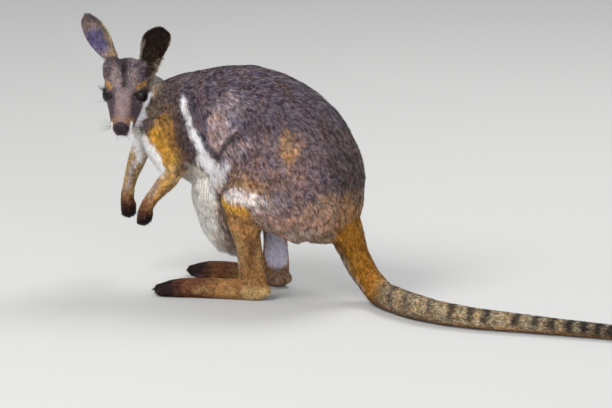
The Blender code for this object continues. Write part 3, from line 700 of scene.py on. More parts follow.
LEG_STROKES = [
    ("shank", [(-30, -58, 105), (-20, -44, 25)], 26, 10, 1.0),
    ("ochre", [(-36, -62, 104), (-30, -56, 50)], 5, 6, 0.5),
    ("cream", [(-44, -54, 100), (-37, -46, 36)], 4.5, 4, 0.9),
    # painted shade down the middle of the shank
    ("brown", [(-12, -66, 96), (-15, -60, 71), (-17, -56, 34)], 1.6, 6, 0.75),
    ("ochre", [(-5, -52, 74), (-6, -50, 34)], 3, 5, 0.5),
    # the inner shank: pale fur with a painted lilac tint of bluish shade
    ("pale_lilac", [(-16, -26, 110), (-14, -18, 26)], 11, 6, 1.0),
    ("shank", [(-20, -42, 20), (-100, -56, 14)], 26, 8, 1.0),
    ("ochre", [(-2, -44, 12), (-20, -52, 8)], 9, 7, 1.0),
    ("ochre", [(-40, -58, 12), (-70, -62, 10)], 4, 5, 0.5),
    ("brown", [(-97, -57, 16), (-134, -60, 12)], 24, 14, 0.92),
    ("ochre", [(-74, -62, 16), (-90, -63, 12)], 2, 5, 0.5),
    ("black", [(-143, -60, 10), (-175, -64, 6)], 27, 14, 0.97),
]
RIGHT_FOOT_STROKES = [
    # the far shank's inner side: pale fur with a painted lilac tint of bluish shade
    ("pale_lilac", [(-14, 24, 110), (-14, 24, 50)], 23, 5, 1.0),
    # painted shade on the far heel
    ("painted_shade_brown", [(4, 34, 12), (-24, 38, 12)], 15, 6, 0.8),
]
UNDER_STROKES = [      # stance frame, on the middle line
    ("belly", [(-122, 0, 140), (-100, 0, 105), (-72, 0, 55)], 36, 12, 1.0),
    ("white", [(-128, 0, 145), (-108, 0, 105), (-84, 0, 60)], 18, 12, 0.8),
    ("belly", [(-178, 0, 196), (-120, 0, 148)], 27, 9, 1.0),
    ("belly", [(-96, -40, 158), (-80, -40, 118), (-68, -32, 76)], 18, 9, 0.95),
    ("belly", [(-96, 40, 158), (-80, 40, 118), (-68, 32, 76)], 18, 9, 0.95),
    # painted shade on the belly's sides beside the thighs, and in the armpit
    ("painted_shade_brown", [(-58, -50, 148), (-62, -46, 118), (-60, -38, 95), (-52, -22, 64)], 9, 9, 0.95),
    ("painted_shade_brown", [(-58, 50, 148), (-62, 46, 118), (-60, 38, 95), (-52, 22, 64)], 9, 9, 0.95),
    ("painted_shade_brown", [(-112, -46, 166), (-98, -50, 162)], 7, 8, 0.7),
    ("white", [(-190, -36, 216), (-174, -52, 204), (-160, -58, 190), (-149, -58, 172)],
     13.5, 5, 1.0),
    ("white", [(-200, 0, 212), (-185, 0, 170), (-165, 0, 155)], 22, 8, 1.0),
    ("white", [(-190, -28, 210), (-180, -27, 193), (-170, -36, 178)], 9, 6, 1.0),
    # painted shade low on the belly
    ("painted_shade_brown", [(-70, -34, 84), (-66, -18, 58)], 8, 10, 0.6),
    ("cream", [(30, 0, 70), (85, -8, 62)], 24, 12, 0.8),
]
LEFT_ARM_STROKES = [
    ("ochre", [(-130, -52, 160), (-160, -47, 118)], 17, 7, 0.9),
    ("orange", [(-126, -62, 160), (-150, -58, 128)], 5, 5, 0.4),
    ("lilac", [(-144, -54, 150), (-153, -54, 136), (-161, -53, 124)], 2.5, 4, 0.7),
    ("brown", [(-124, -54, 152), (-132, -56, 143), (-139, -54, 134), (-150, -49, 122)],
     1.8, 3, 0.7),
    ("paw", [(-160, -46, 116), (-166, -46, 100)], 14, 9, 0.9),
    ("brown", [(-167, -46, 98), (-168, -46, 88)], 15, 10, 0.95),
    ("black", [(-168, -46, 90), (-168, -46, 75)], 16, 8, 1.0),
]
RIGHT_ARM_STROKES = [
    ("shoulder", [(-166, 52, 226), (-206, 52, 174)], 18, 8, 1.0),
    ("ochre", [(-208, 40, 168), (-224, 35, 118)], 17, 7, 0.9),
    ("lilac", [(-212, 24, 160), (-224, 22, 116)], 6, 6, 0.85),
    ("white", [(-200, 20, 206), (-213, 29, 192), (-213, 30, 186)], 11, 8, 1.0),
    ("white", [(-205, 26, 182), (-203, 26, 168), (-200, 28, 156)], 7, 6, 1.0),
    ("white", [(-214, 24, 156), (-228, 23, 112)], 3.5, 4, 0.5),
    ("paw", [(-226, 34, 104), (-224, 34, 94)], 12, 7, 0.85),
    ("brown", [(-224, 34, 93), (-222, 33, 84)], 14, 8, 0.95),
    ("black", [(-222, 33, 84), (-218, 33, 68)], 15, 8, 1.0),
]
TAIL_STROKES = [
    ("tail_orange", [(94, 0, 96), (108, -2, 62), (124, -5, 36)], 25, 10, 1.0),
    ("tail_orange", [(122, -5, 34), (166, -40, 18)], 22, 8, 1.0),
    ("cream", [(88, -8, 66), (103, -12, 38), (124, -26, 10)], 4, 7, 0.55),
]
NECK_STROKES = [
    ("nape", [(-150, -30, 262), (-138, -24, 274)], 17, 12, 0.9),
    ("nape", [(-150, 30, 262), (-138, 24, 274)], 17, 12, 0.9),
    ("ruff", [(-166, -20, 284), (-160, -34, 252)], 12, 7, 0.95),
    ("ruff", [(-166, 34, 284), (-160, 40, 252)], 12, 7, 0.95),
    ("mane", [(-166, -20, 288), (-168, -24, 268)], 5, 5, 0.7),
    ("umber", [(-143, -34, 261), (-147, -40, 247)], 5, 6, 0.7),
    ("umber", [(-165, -38, 243), (-158, -46, 229)], 1.6, 3, 0.9),
    ("umber", [(-158, -36, 250), (-151, -46, 234)], 1.2, 2.5, 0.8),
    ("white", [(-194, -14, 238), (-194, 0, 215)], 19, 8, 1.0),
]
HEAD_STROKES = [       # head frame, on the left, and mirrored
    ("ruff", [(6, 0, -10), (-34, 0, -8)], 44, 8, 0.95),
    ("face", [(48, 0, -4), (10, 0, 0), (-30, 0, 14)], 31, 7, 1.0),
    ("face", [(-34, 20, 20), (-40, 24, 26)], 9, 6, 0.9),
    ("mane", [(-34, 38, 19), (-25, 35, 8), (-20, 32, -3), (-10, 35, -8)], 6, 5, 0.9),
    ("brow_grey", [(-16, 13, 25), (2, 10, 20)], 6, 8, 0.6),
    ("belly", [(34, 0, -38), (-26, 0, -50)], 19, 7, 1.0),
    ("bridge", [(46, 0, 0), (18, 0, 14)], 8, 7, 0.9),
    ("lore", [(14, 16, 6), (26, 15, 0), (38, 14.5, -8)], 4.4, 4.5, 0.9),
    ("brow", [(2, 17, 12), (-5, 22, 11.5), (-12, 26, 7.5)], 2.6, 3.2, 1.0),
    ("orange", [(12, 19, -7), (4, 24, -9), (-5, 28, -6)], 1.2, 2.5, 0.5),
    ("white", [(-6, 29, -10), (5, 25, -14), (15, 20.5, -20), (18, 18, -28), (18, 14, -38)],
     3.8, 3.4, 0.95),
    ("lip", [(16, 22, -24), (32, 17, -25), (50, 11, -24)], 5.5, 4.0, 1.0),
    ("bed", [(41, 13, -10), (47, 10, -7)], 3.0, 5.0, 0.75),
    ("bed", [(48, 4, 0), (44, 7, -2)], 2.4, 5.0, 0.55),
    ("lip", [(56, 0, -24), (53, 8, -22), (50, 12, -15), (47, 13.5, -10)], 3.2, 2.2, 1.0),
]
LONE_HEAD_STROKES = [  # crown line, and the bare foot of the left ear, dark skin deepened by painted shade, between pale fringes
    ("charcoal", [(-54, -3, 22), (-44, -4.5, 27), (-32, -4, 29)], 6.5, 7.0, 1.0),
    ("charcoal", [(-46, 0, 26), (-46, 14, 26)], 3.5, 7.0, 0.8),
    ("charcoal", [(-32, -4, 29), (-14, -1, 27)], 3.4, 5.0, 1.0),
    ("charcoal", [(-14, -1, 27), (6, 1, 20)], 1.8, 5.0, 0.85),
    ("mane", [(-38, 37, 20), (-34, 37, 8), (-34, 36, -8)], 6, 5, 0.85),
    ("cream", [(-44, 21, 30), (-39, 22, 22), (-32, 24, 17)], 1.8, 3, 0.7),
    # the foot of the left ear's inside: dark skin with painted shade
    ("ear_dark_skin_and_shade", [(-37, 27, 26), (-32, 28.5, 22), (-31, 29, 18)], 3.2, 2.4, 0.95),
]
# Each ring of the tail: how far back it lies in the stance (mm), and how deep and wide it is.
TAIL_RINGS = [(172, 0.3), (197, 0.5), (234, 0.5), (265, 0.9), (291, 1.1), (312, 1.2), (350, 1.2),
              (377, 1.0), (397, 1.7), (420, 1.9), (438, 2.0), (456, 2.1), (473, 2.2), (492, 2.3),
              (512, 2.4), (532, 2.4), (552, 2.5), (572, 2.6), (590, 2.8)]


def fade(distance, full, none):
    """1 up to `full`, 0 beyond `none`, smooth between."""
    t = np.clip((none - distance) / max(none - full, 1e-6), 0, 1)
    return t * t * (3 - 2 * t)


def ripple(points, wavelength, seed):
    """A smooth random field between about -1 and 1, from waves that run in all directions."""
    chance = np.random.default_rng(seed)
    total = np.zeros(len(points))
    for _ in range(7):
        heading = unit(chance.normal(size=3)) * math.tau / (wavelength * chance.uniform(0.7, 1.5))
        total += np.sin(points @ heading + chance.uniform(0, math.tau))
    return total / 2.6


def speckle(points, size, seed):
    """A random number from -1 to 1 for each small cell of space."""
    cell = np.floor(points / size).astype(np.int64)
    mix = (cell @ np.array([73856093, 19349663, 83492791])) ^ (seed * 2654435761)
    mix = (mix ^ (mix >> 13)) * 1274126177
    mix = (mix ^ (mix >> 16)) & 65535
    return mix / 32767.5 - 1


def blend(colours, mask, name, scale=1.0):
    """Mixes a named colour into the colours, as far as the mask says."""
    colours += mask[:, None] * (np.array(COLOURS[name]) * scale - colours)


def brush(colours, points, strokes, rough):
    for name, line, reach, soft, strength in strokes:
        distance = near_line(points, line) + rough * soft * 0.45
        blend(colours, fade(distance, reach - soft * 0.5, reach + soft) * strength, name)


def mirrored_strokes(strokes):
    both = []
    for name, line, *rest in strokes:
        both += [(name, line, *rest), (name, np.array(line) * FLIP, *rest)]
    return both


def paint_tail(colours, stance, rough):
    """The free tail: buff, warm below, ringed above, the rings closer and darker to the tip."""
    x, height = stance[:, 0], stance[:, 2]
    run = fade(-x + rough * 5, -166, -134) * (height < 60)
    darker = fade(-x, -470, -340)[:, None] * (1, 1, 0.9, 0)
    blend(colours, run, "buff", 1 - 0.40 * darker)
    blend(colours, run * fade(height, 4, 11) * 0.85, "shank")
    for place, depth in TAIL_RINGS:
        width = 2.2 + 1.5 * depth
        ring = fade(np.abs(x - place) + rough * 2.6, width * 0.4, width + 3.5)
        ring *= fade(-height, -22 + 5 * depth, -13 + 5 * depth)
        ring *= run * min(0.6 + 0.25 * depth, 0.95)
        blend(colours, ring, "umber" if depth < 0.8 else "charcoal")
    blend(colours, fade(-x, -612, -592) * 0.95, "black", (1.3, 1.3, 1.3, 1))


def paint_ears(colours, points, normals, rough):
    """Buff backs and dark tips; inside, one ear has a painted lilac sky reflection at its outer
    edge, the other dark skin in painted shade.
    """
    head, turned = to_head(points), normals @ HEAD_AXES.T
    _, off = along_ears(points)
    for name in EARS:
        root, along, opening, wide = ear_axes(name)
        way, gap = beside_ear(head, name)
        across = (head - root) @ wide
        mine = (gap < EAR_REACH + 1) & (gap <= off + 1e-6) & (way > -13)
        on = fade(-way, -9, -1) * mine
        blend(colours, on, "ear_back")
        blend(colours, on * fade(-way - rough * 3, -62, -44) * 0.75, "ear_tip")
        if EARS[name]["lit"]:
            # painted reflection of the sky inside the lit ear
            inner = fade(-(turned @ opening), -0.45, -0.10) * mine
            inner *= fade(-way, -18, -2) * fade(across - rough * 3, 1, 11) * fade(way, 34, 58)
            blend(colours, inner, "ear_painted_sky_reflection")
        else:
            # dark skin with painted shade inside the other ear
            facing, foot = turned @ unit(opening + along * 0.6), way + 8 - 1.2 * np.abs(across + 2)
            inner = fade(-facing, -0.40, -0.10) * mine * fade(-foot, -2, 1)
            blend(colours, inner * fade(np.abs(across), 16, 18.5), "ear_dark_skin_and_shade")
            fringe = fade(np.abs(across + 15.5) + rough, 2.0, 5.0) * fade(np.abs(way - 22), 14, 24)
            blend(colours, fringe * mine * 0.85, "cream")


def markings(points, normals):
    """Colour and ticking at each point of the frame."""
    stance, head = to_stance(points), to_head(points)
    rough = ripple(stance, 9.0, 11) * 0.7 + ripple(stance, 3.5, 12) * 0.5
    colours = np.tile(np.array(COLOURS["back"]), (len(points), 1))
    brush(colours, stance, mirrored_strokes(FLANK_STROKES), rough)
    brush(colours, stance, mirrored_strokes(LEG_STROKES) + RIGHT_FOOT_STROKES, rough)
    brush(colours, stance, LEFT_ARM_STROKES + RIGHT_ARM_STROKES + UNDER_STROKES, rough)
    brush(colours, stance, TAIL_STROKES + NECK_STROKES, rough)
    paint_tail(colours, stance, rough)
    spine = fade(np.abs(stance[:, 1] - 1.0) + rough, 3.0, 7.0) * (stance[:, 2] > 235)
    spine *= fade(stance[:, 0], -20, 60) * fade(-stance[:, 0], 165, 200) * 0.8
    blend(colours, spine, "umber")
    brush(colours, head, mirrored_strokes(HEAD_STROKES) + LONE_HEAD_STROKES, rough * 0.6)
    paint_ears(colours, points, normals, rough)
    shade = 1 + 0.07 * ripple(stance, 34.0, 13) + 0.06 * ripple(stance, 14.0, 14)
    colours[:, :3] *= shade[:, None]
    warm = (0.055 * ripple(stance, 30.0, 15) + 0.04 * ripple(stance, 11.0, 16)) * colours[:, 3]
    colours[:, :3] *= 1 + warm[:, None] * np.array((0.9, 0.0, -1.0))
    return np.clip(colours, 0.004, 0.9)


# ------------------------ hide
# The hide between the hairs has the coat's markings, darker where the coat is dark. The effects it
# shares with other finishes are node groups: "ticking" varies a colour in fine flecks, as hairs
# banded dark and pale do, and "nap" gives the height of short hair lying close.
def set_inputs(node, values):
    for label, value in values.items():
        node.inputs[label].default_value = value


def node_group(name, inputs, outputs):
    group = bpy.data.node_groups.new(name, "ShaderNodeTree")
    for label, kind, value in inputs:
        socket = group.interface.new_socket(label, in_out="INPUT", socket_type=kind)
        if value is not None:
            socket.default_value = value
    for label, kind in outputs:
        group.interface.new_socket(label, in_out="OUTPUT", socket_type=kind)
    return group, group.nodes.new("NodeGroupInput"), group.nodes.new("NodeGroupOutput")


def ticking_group():
    group, ins, outs = node_group(
        "ticking",
        [("Color", "NodeSocketColor", None), ("Amount", "NodeSocketFloat", 0.3),
         ("Scale", "NodeSocketFloat", 900.0)],
        [("Color", "NodeSocketColor")])
    nodes, link = group.nodes, group.links.new
    place = nodes.new("ShaderNodeTexCoord")
    noise = nodes.new("ShaderNodeTexNoise")
    spread = nodes.new("ShaderNodeMapRange")
    scaled = nodes.new("ShaderNodeMath")
    scaled.operation = "MULTIPLY_ADD"
    tint = nodes.new("ShaderNodeVectorMath")
    tint.operation = "SCALE"
    set_inputs(noise, {"Detail": 2.0})
    set_inputs(spread, {"From Min": 0.25, "From Max": 0.75, "To Min": -1.0})
    set_inputs(scaled, {2: 1.0})
    link(place.outputs["Object"], noise.inputs["Vector"])
    link(ins.outputs["Scale"], noise.inputs["Scale"])
    link(noise.outputs["Fac"], spread.inputs["Value"])
    link(spread.outputs["Result"], scaled.inputs[0])
    link(ins.outputs["Amount"], scaled.inputs[1])
    link(ins.outputs["Color"], tint.inputs[0])
    link(scaled.outputs[0], tint.inputs["Scale"])
    link(tint.outputs[0], outs.inputs["Color"])
    return group


def nap_group():
    group, ins, outs = node_group(
        "nap",
        [("Scale", "NodeSocketFloat", 1400.0)],
        [("Height", "NodeSocketFloat")])
    nodes, link = group.nodes, group.links.new
    place = nodes.new("ShaderNodeTexCoord")
    fine = nodes.new("ShaderNodeTexNoise")
    set_inputs(fine, {"Detail": 3.0, "Roughness": 0.6})
    link(place.outputs["Object"], fine.inputs["Vector"])
    link(ins.outputs["Scale"], fine.inputs["Scale"])
    link(fine.outputs["Fac"], outs.inputs["Height"])
    return group


TICKING, NAP = ticking_group(), nap_group()


def add_relief(material, height, strength, distance, invert=False):
    nodes, link = material.node_tree.nodes, material.node_tree.links.new
    relief = nodes.new("ShaderNodeBump")
    relief.invert = invert
    set_inputs(relief, {"Strength": strength, "Distance": distance})
    link(height, relief.inputs["Height"])
    link(relief.outputs["Normal"], nodes["Principled BSDF"].inputs["Normal"])


def finish(name, colour, values, ticking, scale, bump=0.0, distance=0.0004):
    """A material whose colour, plain or the name of a painted attribute, is flecked by ticking."""
    material = bpy.data.materials.new(name)
    material.use_nodes = True
    nodes, link = material.node_tree.nodes, material.node_tree.links.new
    shader = nodes["Principled BSDF"]
    set_inputs(shader, values)
    flecks = nodes.new("ShaderNodeGroup")
    flecks.node_tree = TICKING
    set_inputs(flecks, {"Amount": ticking, "Scale": scale})
    if isinstance(colour, str):
        painted = nodes.new("ShaderNodeAttribute")
        painted.attribute_name = colour
        link(painted.outputs["Color"], flecks.inputs["Color"])
    else:
        set_inputs(flecks, {"Color": (*colour, 1.0)})
    link(flecks.outputs["Color"], shader.inputs["Base Color"])
    if bump:
        nap = nodes.new("ShaderNodeGroup")
        nap.node_tree = NAP
        add_relief(material, nap.outputs["Height"], bump, distance)
    return material


def tint_piece(piece, name, colours):
    """Stores linear colours on a piece's points."""
    layer = piece.data.color_attributes.new(name, "FLOAT_COLOR", "POINT")
    rows = np.ones((len(colours), 4), np.float32)
    rows[:, :3] = colours
    layer.data.foreach_set("color", rows.ravel())


def root_shade(marks):
    """How much of its colour the coat keeps at the root: least where the coat is dark."""
    return 0.50 + 0.38 * marks[:, :3].mean(axis=1, keepdims=True)


HAIR_GLOSS = {"Specular IOR Level": 0.12, "Sheen Roughness": 0.45}
HIDE = finish("hide", "coat", {**HAIR_GLOSS, "Roughness": 0.75}, 0.25, 1500.0, 0.5, 0.0006)
skin.data.materials.clear()
skin.data.materials.append(HIDE)
skin_points, skin_triangles = points_of(skin.data), triangles_of(skin.data)
skin_normals = normals_of(skin_points, skin_triangles)
skin_marks = markings(skin_points, skin_normals)
tint_piece(skin, "coat", skin_marks[:, :3] * root_shade(skin_marks))
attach(skin, "root")
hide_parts(*FLESH)


# ------------------------ coat
# The coat is tufts of a few hairs each, growing out of the skin along the lie of the coat: single
# blades on head, arms, shanks and feet, bent ones elsewhere. Every tuft has its own place on a flat
# lay-out of the skin under it, so that its colour stays its own.
TUFT_PATCH = 0.003                        # width of a tuft's place on the lay-out
COAT = finish("coat", "coat", {**HAIR_GLOSS, "Roughness": 0.65, "Sheen Weight": 0.08}, 0.10, 700.0)
EAR_HAIR, EAR_LIFT = 3.0, 13.0            # length (mm) and lift (degrees) of the hair on the ears
ROOT_SUNK, FLOOR_GAP = 0.0003, 0.0003     # metres
WIDTH_LEAST, WIDTH_GAIN, WIDTH_MOST = 0.22, 0.036, 0.7      # mm, mm for each mm of length, mm
UNEVEN_LENGTH, UNEVEN_EARS, UNEVEN_LIFT = (0.72, 1.22), (0.6, 1.2), (0.6, 1.5)
STRAY, ROLL, DRIFT = 0.16, 0.45, 0.10     # of the lie, of the blade about it, and of its tip
GLOW_SIDE, GLOW_STRAY = 0.28, 0.10        # how far a tuft's shading leaves that of the skin
RISES = (1.3, 0.45)                       # lift of a tuft's two parts, beside that of the coat
# A tuft's corners are (side, step), with step 0 at the root, 1 at the bend and 2 at the tip. "foot"
# is its width at the root beside that at the bend, and "bend" where along the hair it bends.
BENT = {"corners": [(-1, 0), (1, 0), (-1, 1), (1, 1), (0, 2)], "foot": 0.7, "bend": 0.5,
        "faces": [(0, 1, 3), (0, 3, 2), (2, 3, 4)], "shades": (0.0, 0.0, 0.98, 0.98, 1.15)}
BLADE = {"corners": [(-1, 0), (1, 0), (0, 2)], "foot": 1.0, "bend": 0.35,
         "faces": [(0, 1, 2)], "shades": (0.2, 0.2, 1.12)}


def new_piece(name, points, faces):
    """A mesh object from arrays: points in metres, faces all with the same number of corners."""
    mesh = bpy.data.meshes.new(name)
    corners = faces.shape[1]
    mesh.vertices.add(len(points))
    mesh.vertices.foreach_set("co", np.ascontiguousarray(points, np.float32).ravel())
    mesh.loops.add(faces.size)
    mesh.loops.foreach_set("vertex_index", np.ascontiguousarray(faces, np.int32).ravel())
    mesh.polygons.add(len(faces))
    mesh.polygons.foreach_set("loop_start", np.arange(0, faces.size, corners, dtype=np.int32))
    mesh.update(calc_edges=True)
    mesh.validate()
    return add_object(name, mesh)


def lay_flat(points, triangles):
    """UV corners of a part of the skin, unwrapped by itself."""
    used, small = np.unique(triangles, return_inverse=True)
    patch = new_piece("patch", points[used], small.reshape(-1, 3))
    patch.data.uv_layers.new(name="flat")
    view = bpy.context.view_layer
    view.update()
    bpy.ops.object.select_all(action="DESELECT")
    patch.select_set(True)
    view.objects.active = patch
    bpy.ops.object.mode_set(mode="EDIT")
    bpy.ops.mesh.select_all(action="SELECT")
    bpy.ops.uv.smart_project(angle_limit=1.2, island_margin=0.006)
    bpy.ops.object.mode_set(mode="OBJECT")
    flat = np.empty(len(triangles) * 6, np.float32)
    patch.data.uv_layers["flat"].uv.foreach_get("vector", flat)
    data = patch.data
    bpy.data.objects.remove(patch)
    bpy.data.meshes.remove(data)
    return flat.reshape(-1, 3, 2)


def scatter(triangles, number, weight, chance):
    """Roots spread evenly over triangles: which triangle, and where in it."""
    corner = skin_points[triangles]
    across = np.cross(corner[:, 1] - corner[:, 0], corner[:, 2] - corner[:, 0])
    running = np.cumsum(np.linalg.norm(across, axis=1) * weight)
    picks = (np.arange(number) + chance.random(number)) / number * running[-1]
    which = np.minimum(np.searchsorted(running, picks), len(triangles) - 1)
    a, b = chance.random(number), chance.random(number)
    fold = a + b > 1
    a, b = np.where(fold, 1 - a, a), np.where(fold, 1 - b, b)
    return which, np.stack([1 - a - b, a, b], axis=1)


def bare(points, normals):
    """True where no hair grows: eye openings, nose pad, soles and palms."""
    head = to_head(points)
    without = (points[:, 2] < 0.0035) & (normals[:, 2] < -0.55)
    for name in EYES:
        centre = eye_axes(name)[0]
        close = np.linalg.norm(head - centre, axis=1) < EYE_RADIUS + 4
        without |= close & (eye_opening(head, name) < 0.9)
    pad = (head - (NOSE_AHEAD, 0, -NOSE_BELOW)) / (6.6, 9.8, 9.9)        # bare half sizes
    without |= np.linalg.norm(pad, axis=1) < 1.0
    return without


CLUMPS = [(0.0036, 5, 0.45), (0.0020, 6, 1.15)]      # size (metres), seed and strength
TICK_DARK, TICK_PALE, TICK_GREY = 1.25, 0.62, (0.050, 0.042, 0.038)
MOST_TICKED = 1.7


def tuft_tones(marks, roots, chance):
    """Each tuft's own colour: hairs are ticked dark and pale, and lie in clumps of like tone."""
    number = len(marks)
    base, ticked = marks[:, :3], marks[:, 3:]
    clump = sum(speckle(roots, size, seed) * strength for size, seed, strength in CLUMPS)
    tone = clump + chance.normal(0, 0.5, number)
    tone = np.clip(tone, -MOST_TICKED, MOST_TICKED)[:, None] * ticked
    warm = speckle(roots, 0.0023, 7) * 0.17 + chance.normal(0, 0.06, number)
    hue = 1 + (warm[:, None] * np.minimum(ticked, 1)) * np.array((0.8, 0.0, -1.0))
    darker = base * np.exp(np.minimum(tone, 0) * TICK_DARK)
    paler = np.maximum(tone, 0) * (base * TICK_PALE + np.array(TICK_GREY))
    jitter = 1 + 0.10 * chance.normal(size=(number, 1))
    return np.clip((darker + paler) * hue * jitter, 0.004, 0.9)


def plant(triangles, number, chance):
    """Roots of tufts on triangles of the skin: place, normal, and seat on the flat lay-out."""
    flat = lay_flat(skin_points, triangles)
    hair = coat_lie(skin_points[triangles].mean(axis=1))[1]
    which, share = scatter(triangles, number, hair ** -0.8, chance)
    corner, share = triangles[which], share[..., None]
    root = (skin_points[corner] * share).sum(axis=1)
    normal = unit((skin_normals[corner] * share).sum(axis=1))
    seat = (flat[which] * share).sum(axis=1)
    keep = ~bare(root, normal)
    return root[keep], normal[keep], seat[keep]


def grow_coat(name, mine, number, form, spread, seed):
    """One piece of coat over the skin triangles in `mine`."""
    chance = np.random.default_rng(seed)
    root, normal, seat = plant(skin_triangles[mine], number, chance)
    number = len(root)
    lie, length, lift = coat_lie(root)
    lie = ear_lie(root, lie) + chance.normal(0, STRAY * spread, (number, 3))
    along = unit(lie - normal * (lie * normal).sum(axis=1, keepdims=True))
    marks = markings(root, normal)
    tones = tuft_tones(marks, root, chance)
    length = length * chance.uniform(*UNEVEN_LENGTH, number)
    past, off = along_ears(root)
    on_ear = (off < EAR_REACH) & (past > 8)
    length = np.where(on_ear, EAR_HAIR * chance.uniform(*UNEVEN_EARS, number), length)[:, None]
    lift = np.where(on_ear, EAR_LIFT, lift)
    width = np.minimum(WIDTH_LEAST + WIDTH_GAIN * length, WIDTH_MOST) * 0.001
    length = length * 0.001
    lift = np.radians(lift * chance.uniform(*UNEVEN_LIFT, number))[:, None]
    roll = chance.normal(0, ROLL, number)[:, None]
    side = np.cross(along, normal)
    side = unit(side * np.cos(roll) + normal * np.sin(roll))
    first, second = (along * np.cos(lift * rise) + normal * np.sin(lift * rise) for rise in RISES)
    drift = side * (chance.normal(0, DRIFT, (number, 1)) * length)
    glow = normal + GLOW_SIDE * np.cross(side, along)
    glow = unit(glow + chance.normal(0, GLOW_STRAY, (number, 3)))
    bend = root + first * (length * form["bend"])
    tip = bend + second * (length * (1 - form["bend"])) + drift
    spine, widths = (root - normal * ROOT_SUNK, bend, tip), (form["foot"], 1.0, 0.0)
    half = side * (width / 2)
    rows = [spine[step] + half * (way * widths[step]) for way, step in form["corners"]]
    count = len(rows)
    points = np.stack(rows, axis=1).reshape(-1, 3)
    points[:, 2] = np.maximum(points[:, 2], FLOOR_GAP)
    starts = np.arange(number) * count
    faces = (starts[:, None, None] + np.array(form["faces"])).reshape(-1, 3)
    piece = new_piece(name, points, faces)
    piece.data.materials.append(COAT)
    shades = np.array(form["shades"])[None, :] + (np.arange(count) < 2) * root_shade(marks)
    colours = tones[:, None, :] * shades[..., None]
    tint_piece(piece, "coat", np.clip(colours, 0.003, 0.92).reshape(-1, 3))
    place = seat[:, None, :] + np.array(form["corners"]) * (TUFT_PATCH / 2)
    layer = piece.data.uv_layers.new(name="OFBake")
    layer.uv.foreach_set("vector", place.reshape(-1, 2)[faces.ravel()].astype(np.float32).ravel())
    shade_smooth(piece.data)
    piece.data.normals_split_custom_set_from_vertices(np.repeat(glow, count, axis=0).tolist())
    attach(piece, "root")


def ear_lie(points, lie):
    """On the ears the hair runs from root to tip."""
    head = to_head(points)
    off = along_ears(points)[1]
    for name in EARS:
        way, gap = beside_ear(head, name)
        mine = fade(-way, -12, 0) * (gap < EAR_REACH + 1) * (gap <= off + 1e-6)
        lie = lie + mine[:, None] * (ear_axes(name)[1] @ HEAD_AXES - lie)
    return unit(lie)


skin_middles = skin_points[skin_triangles].mean(axis=1)
skin_owner = np.array([FLESH[i] for i in nearest_nodes(skin_middles)])
past_root, off_ear = along_ears(skin_middles)
ear_zone = (off_ear < EAR_REACH) & (past_root > 5)
left_of_head = to_head(skin_middles)[:, 1] > 0
stance_middles = to_stance(skin_middles)
left_side = stance_middles[:, 1] < 0
belly_zone = (stance_middles[:, 2] < 150) & (stance_middles[:, 0] < 5) & (skin_owner == "trunk")


def owned(*names):
    return np.isin(skin_owner, names) & ~ear_zone & ~belly_zone


COAT_PIECES = [
    # name, where on the skin, tufts, their form, how much they stray from the lie
    ("coat_head", owned("head", "ear_L", "ear_R"), 100000, BLADE, 0.8),
    ("coat_ear_left", ear_zone & left_of_head, 26000, BLADE, 0.9),
    ("coat_ear_right", ear_zone & ~left_of_head, 26000, BLADE, 0.9),
    ("coat_neck", owned("neck"), 28000, BENT, 1.0),
    ("coat_trunk_left", owned("trunk") & left_side, 66000, BENT, 1.0),
    ("coat_trunk_right", owned("trunk") & ~left_side, 56000, BENT, 1.0),
    ("coat_belly", belly_zone, 40000, BENT, 1.4),
    ("coat_thigh_left", owned("thigh_L"), 60000, BENT, 1.0),
    ("coat_thigh_right", owned("thigh_R"), 48000, BENT, 1.0),
    ("coat_arm_left", owned("upper_arm_L", "forearm_L", "hand_L"), 50000, BLADE, 0.9),
    ("coat_arm_right", owned("upper_arm_R", "forearm_R", "hand_R"), 50000, BLADE, 0.9),
    ("coat_leg_left", owned("shank_L", "foot_L"), 60000, BLADE, 0.8),
    ("coat_leg_right", owned("shank_R", "foot_R"), 50000, BLADE, 0.8),
    ("coat_tail", owned("tail_1", "tail_2", "tail_3", "tail_4"), 62000, BENT, 0.9),
]
for number, (name, zone, tufts, form, spread) in enumerate(COAT_PIECES):
    share = 1.0
    grow_coat(name, zone, int(tufts * share), form, spread, seed=100 + number)


# ------------------------ eyes
# The eyeballs are wet spheres, nearly black: a wide pupil in a dark brown iris. A dark, bare rim
# edges each pair of lids and carries the lashes.
PUPIL, IRIS_EDGE = 0.74, 1.05              # angles from the gaze, radians


def grid_quads(rows, columns):
    """Quads of a grid of points whose rows close on themselves."""
    i, j = np.meshgrid(np.arange(rows - 1), np.arange(columns), indexing="ij")
    k = (j + 1) % columns
    i, more = i * columns, (i + 1) * columns
    return np.stack([i + j, more + j, more + k, i + k], axis=-1).reshape(-1, 4)


def ball(rows, columns):
    """Unit sphere as a grid with its pole along +X: points and quads, with the end rows joined."""
    polar = np.linspace(0, math.pi, rows)
    turn = np.arange(columns) * math.tau / columns
    points = np.stack([
        np.repeat(np.cos(polar), columns),
        np.outer(np.sin(polar), np.cos(turn)).ravel(),
        np.outer(np.sin(polar), np.sin(turn)).ravel()], axis=1)
    return points, grid_quads(rows, columns)


def weld(piece):
    """Joins points that coincide, and turns all faces outward."""
    bm = bmesh.new()
    bm.from_mesh(piece.data)
    bmesh.ops.remove_doubles(bm, verts=bm.verts, dist=1e-6)
    bmesh.ops.recalc_face_normals(bm, faces=bm.faces)
    bm.to_mesh(piece.data)
    bm.free()
    shade_smooth(piece.data)


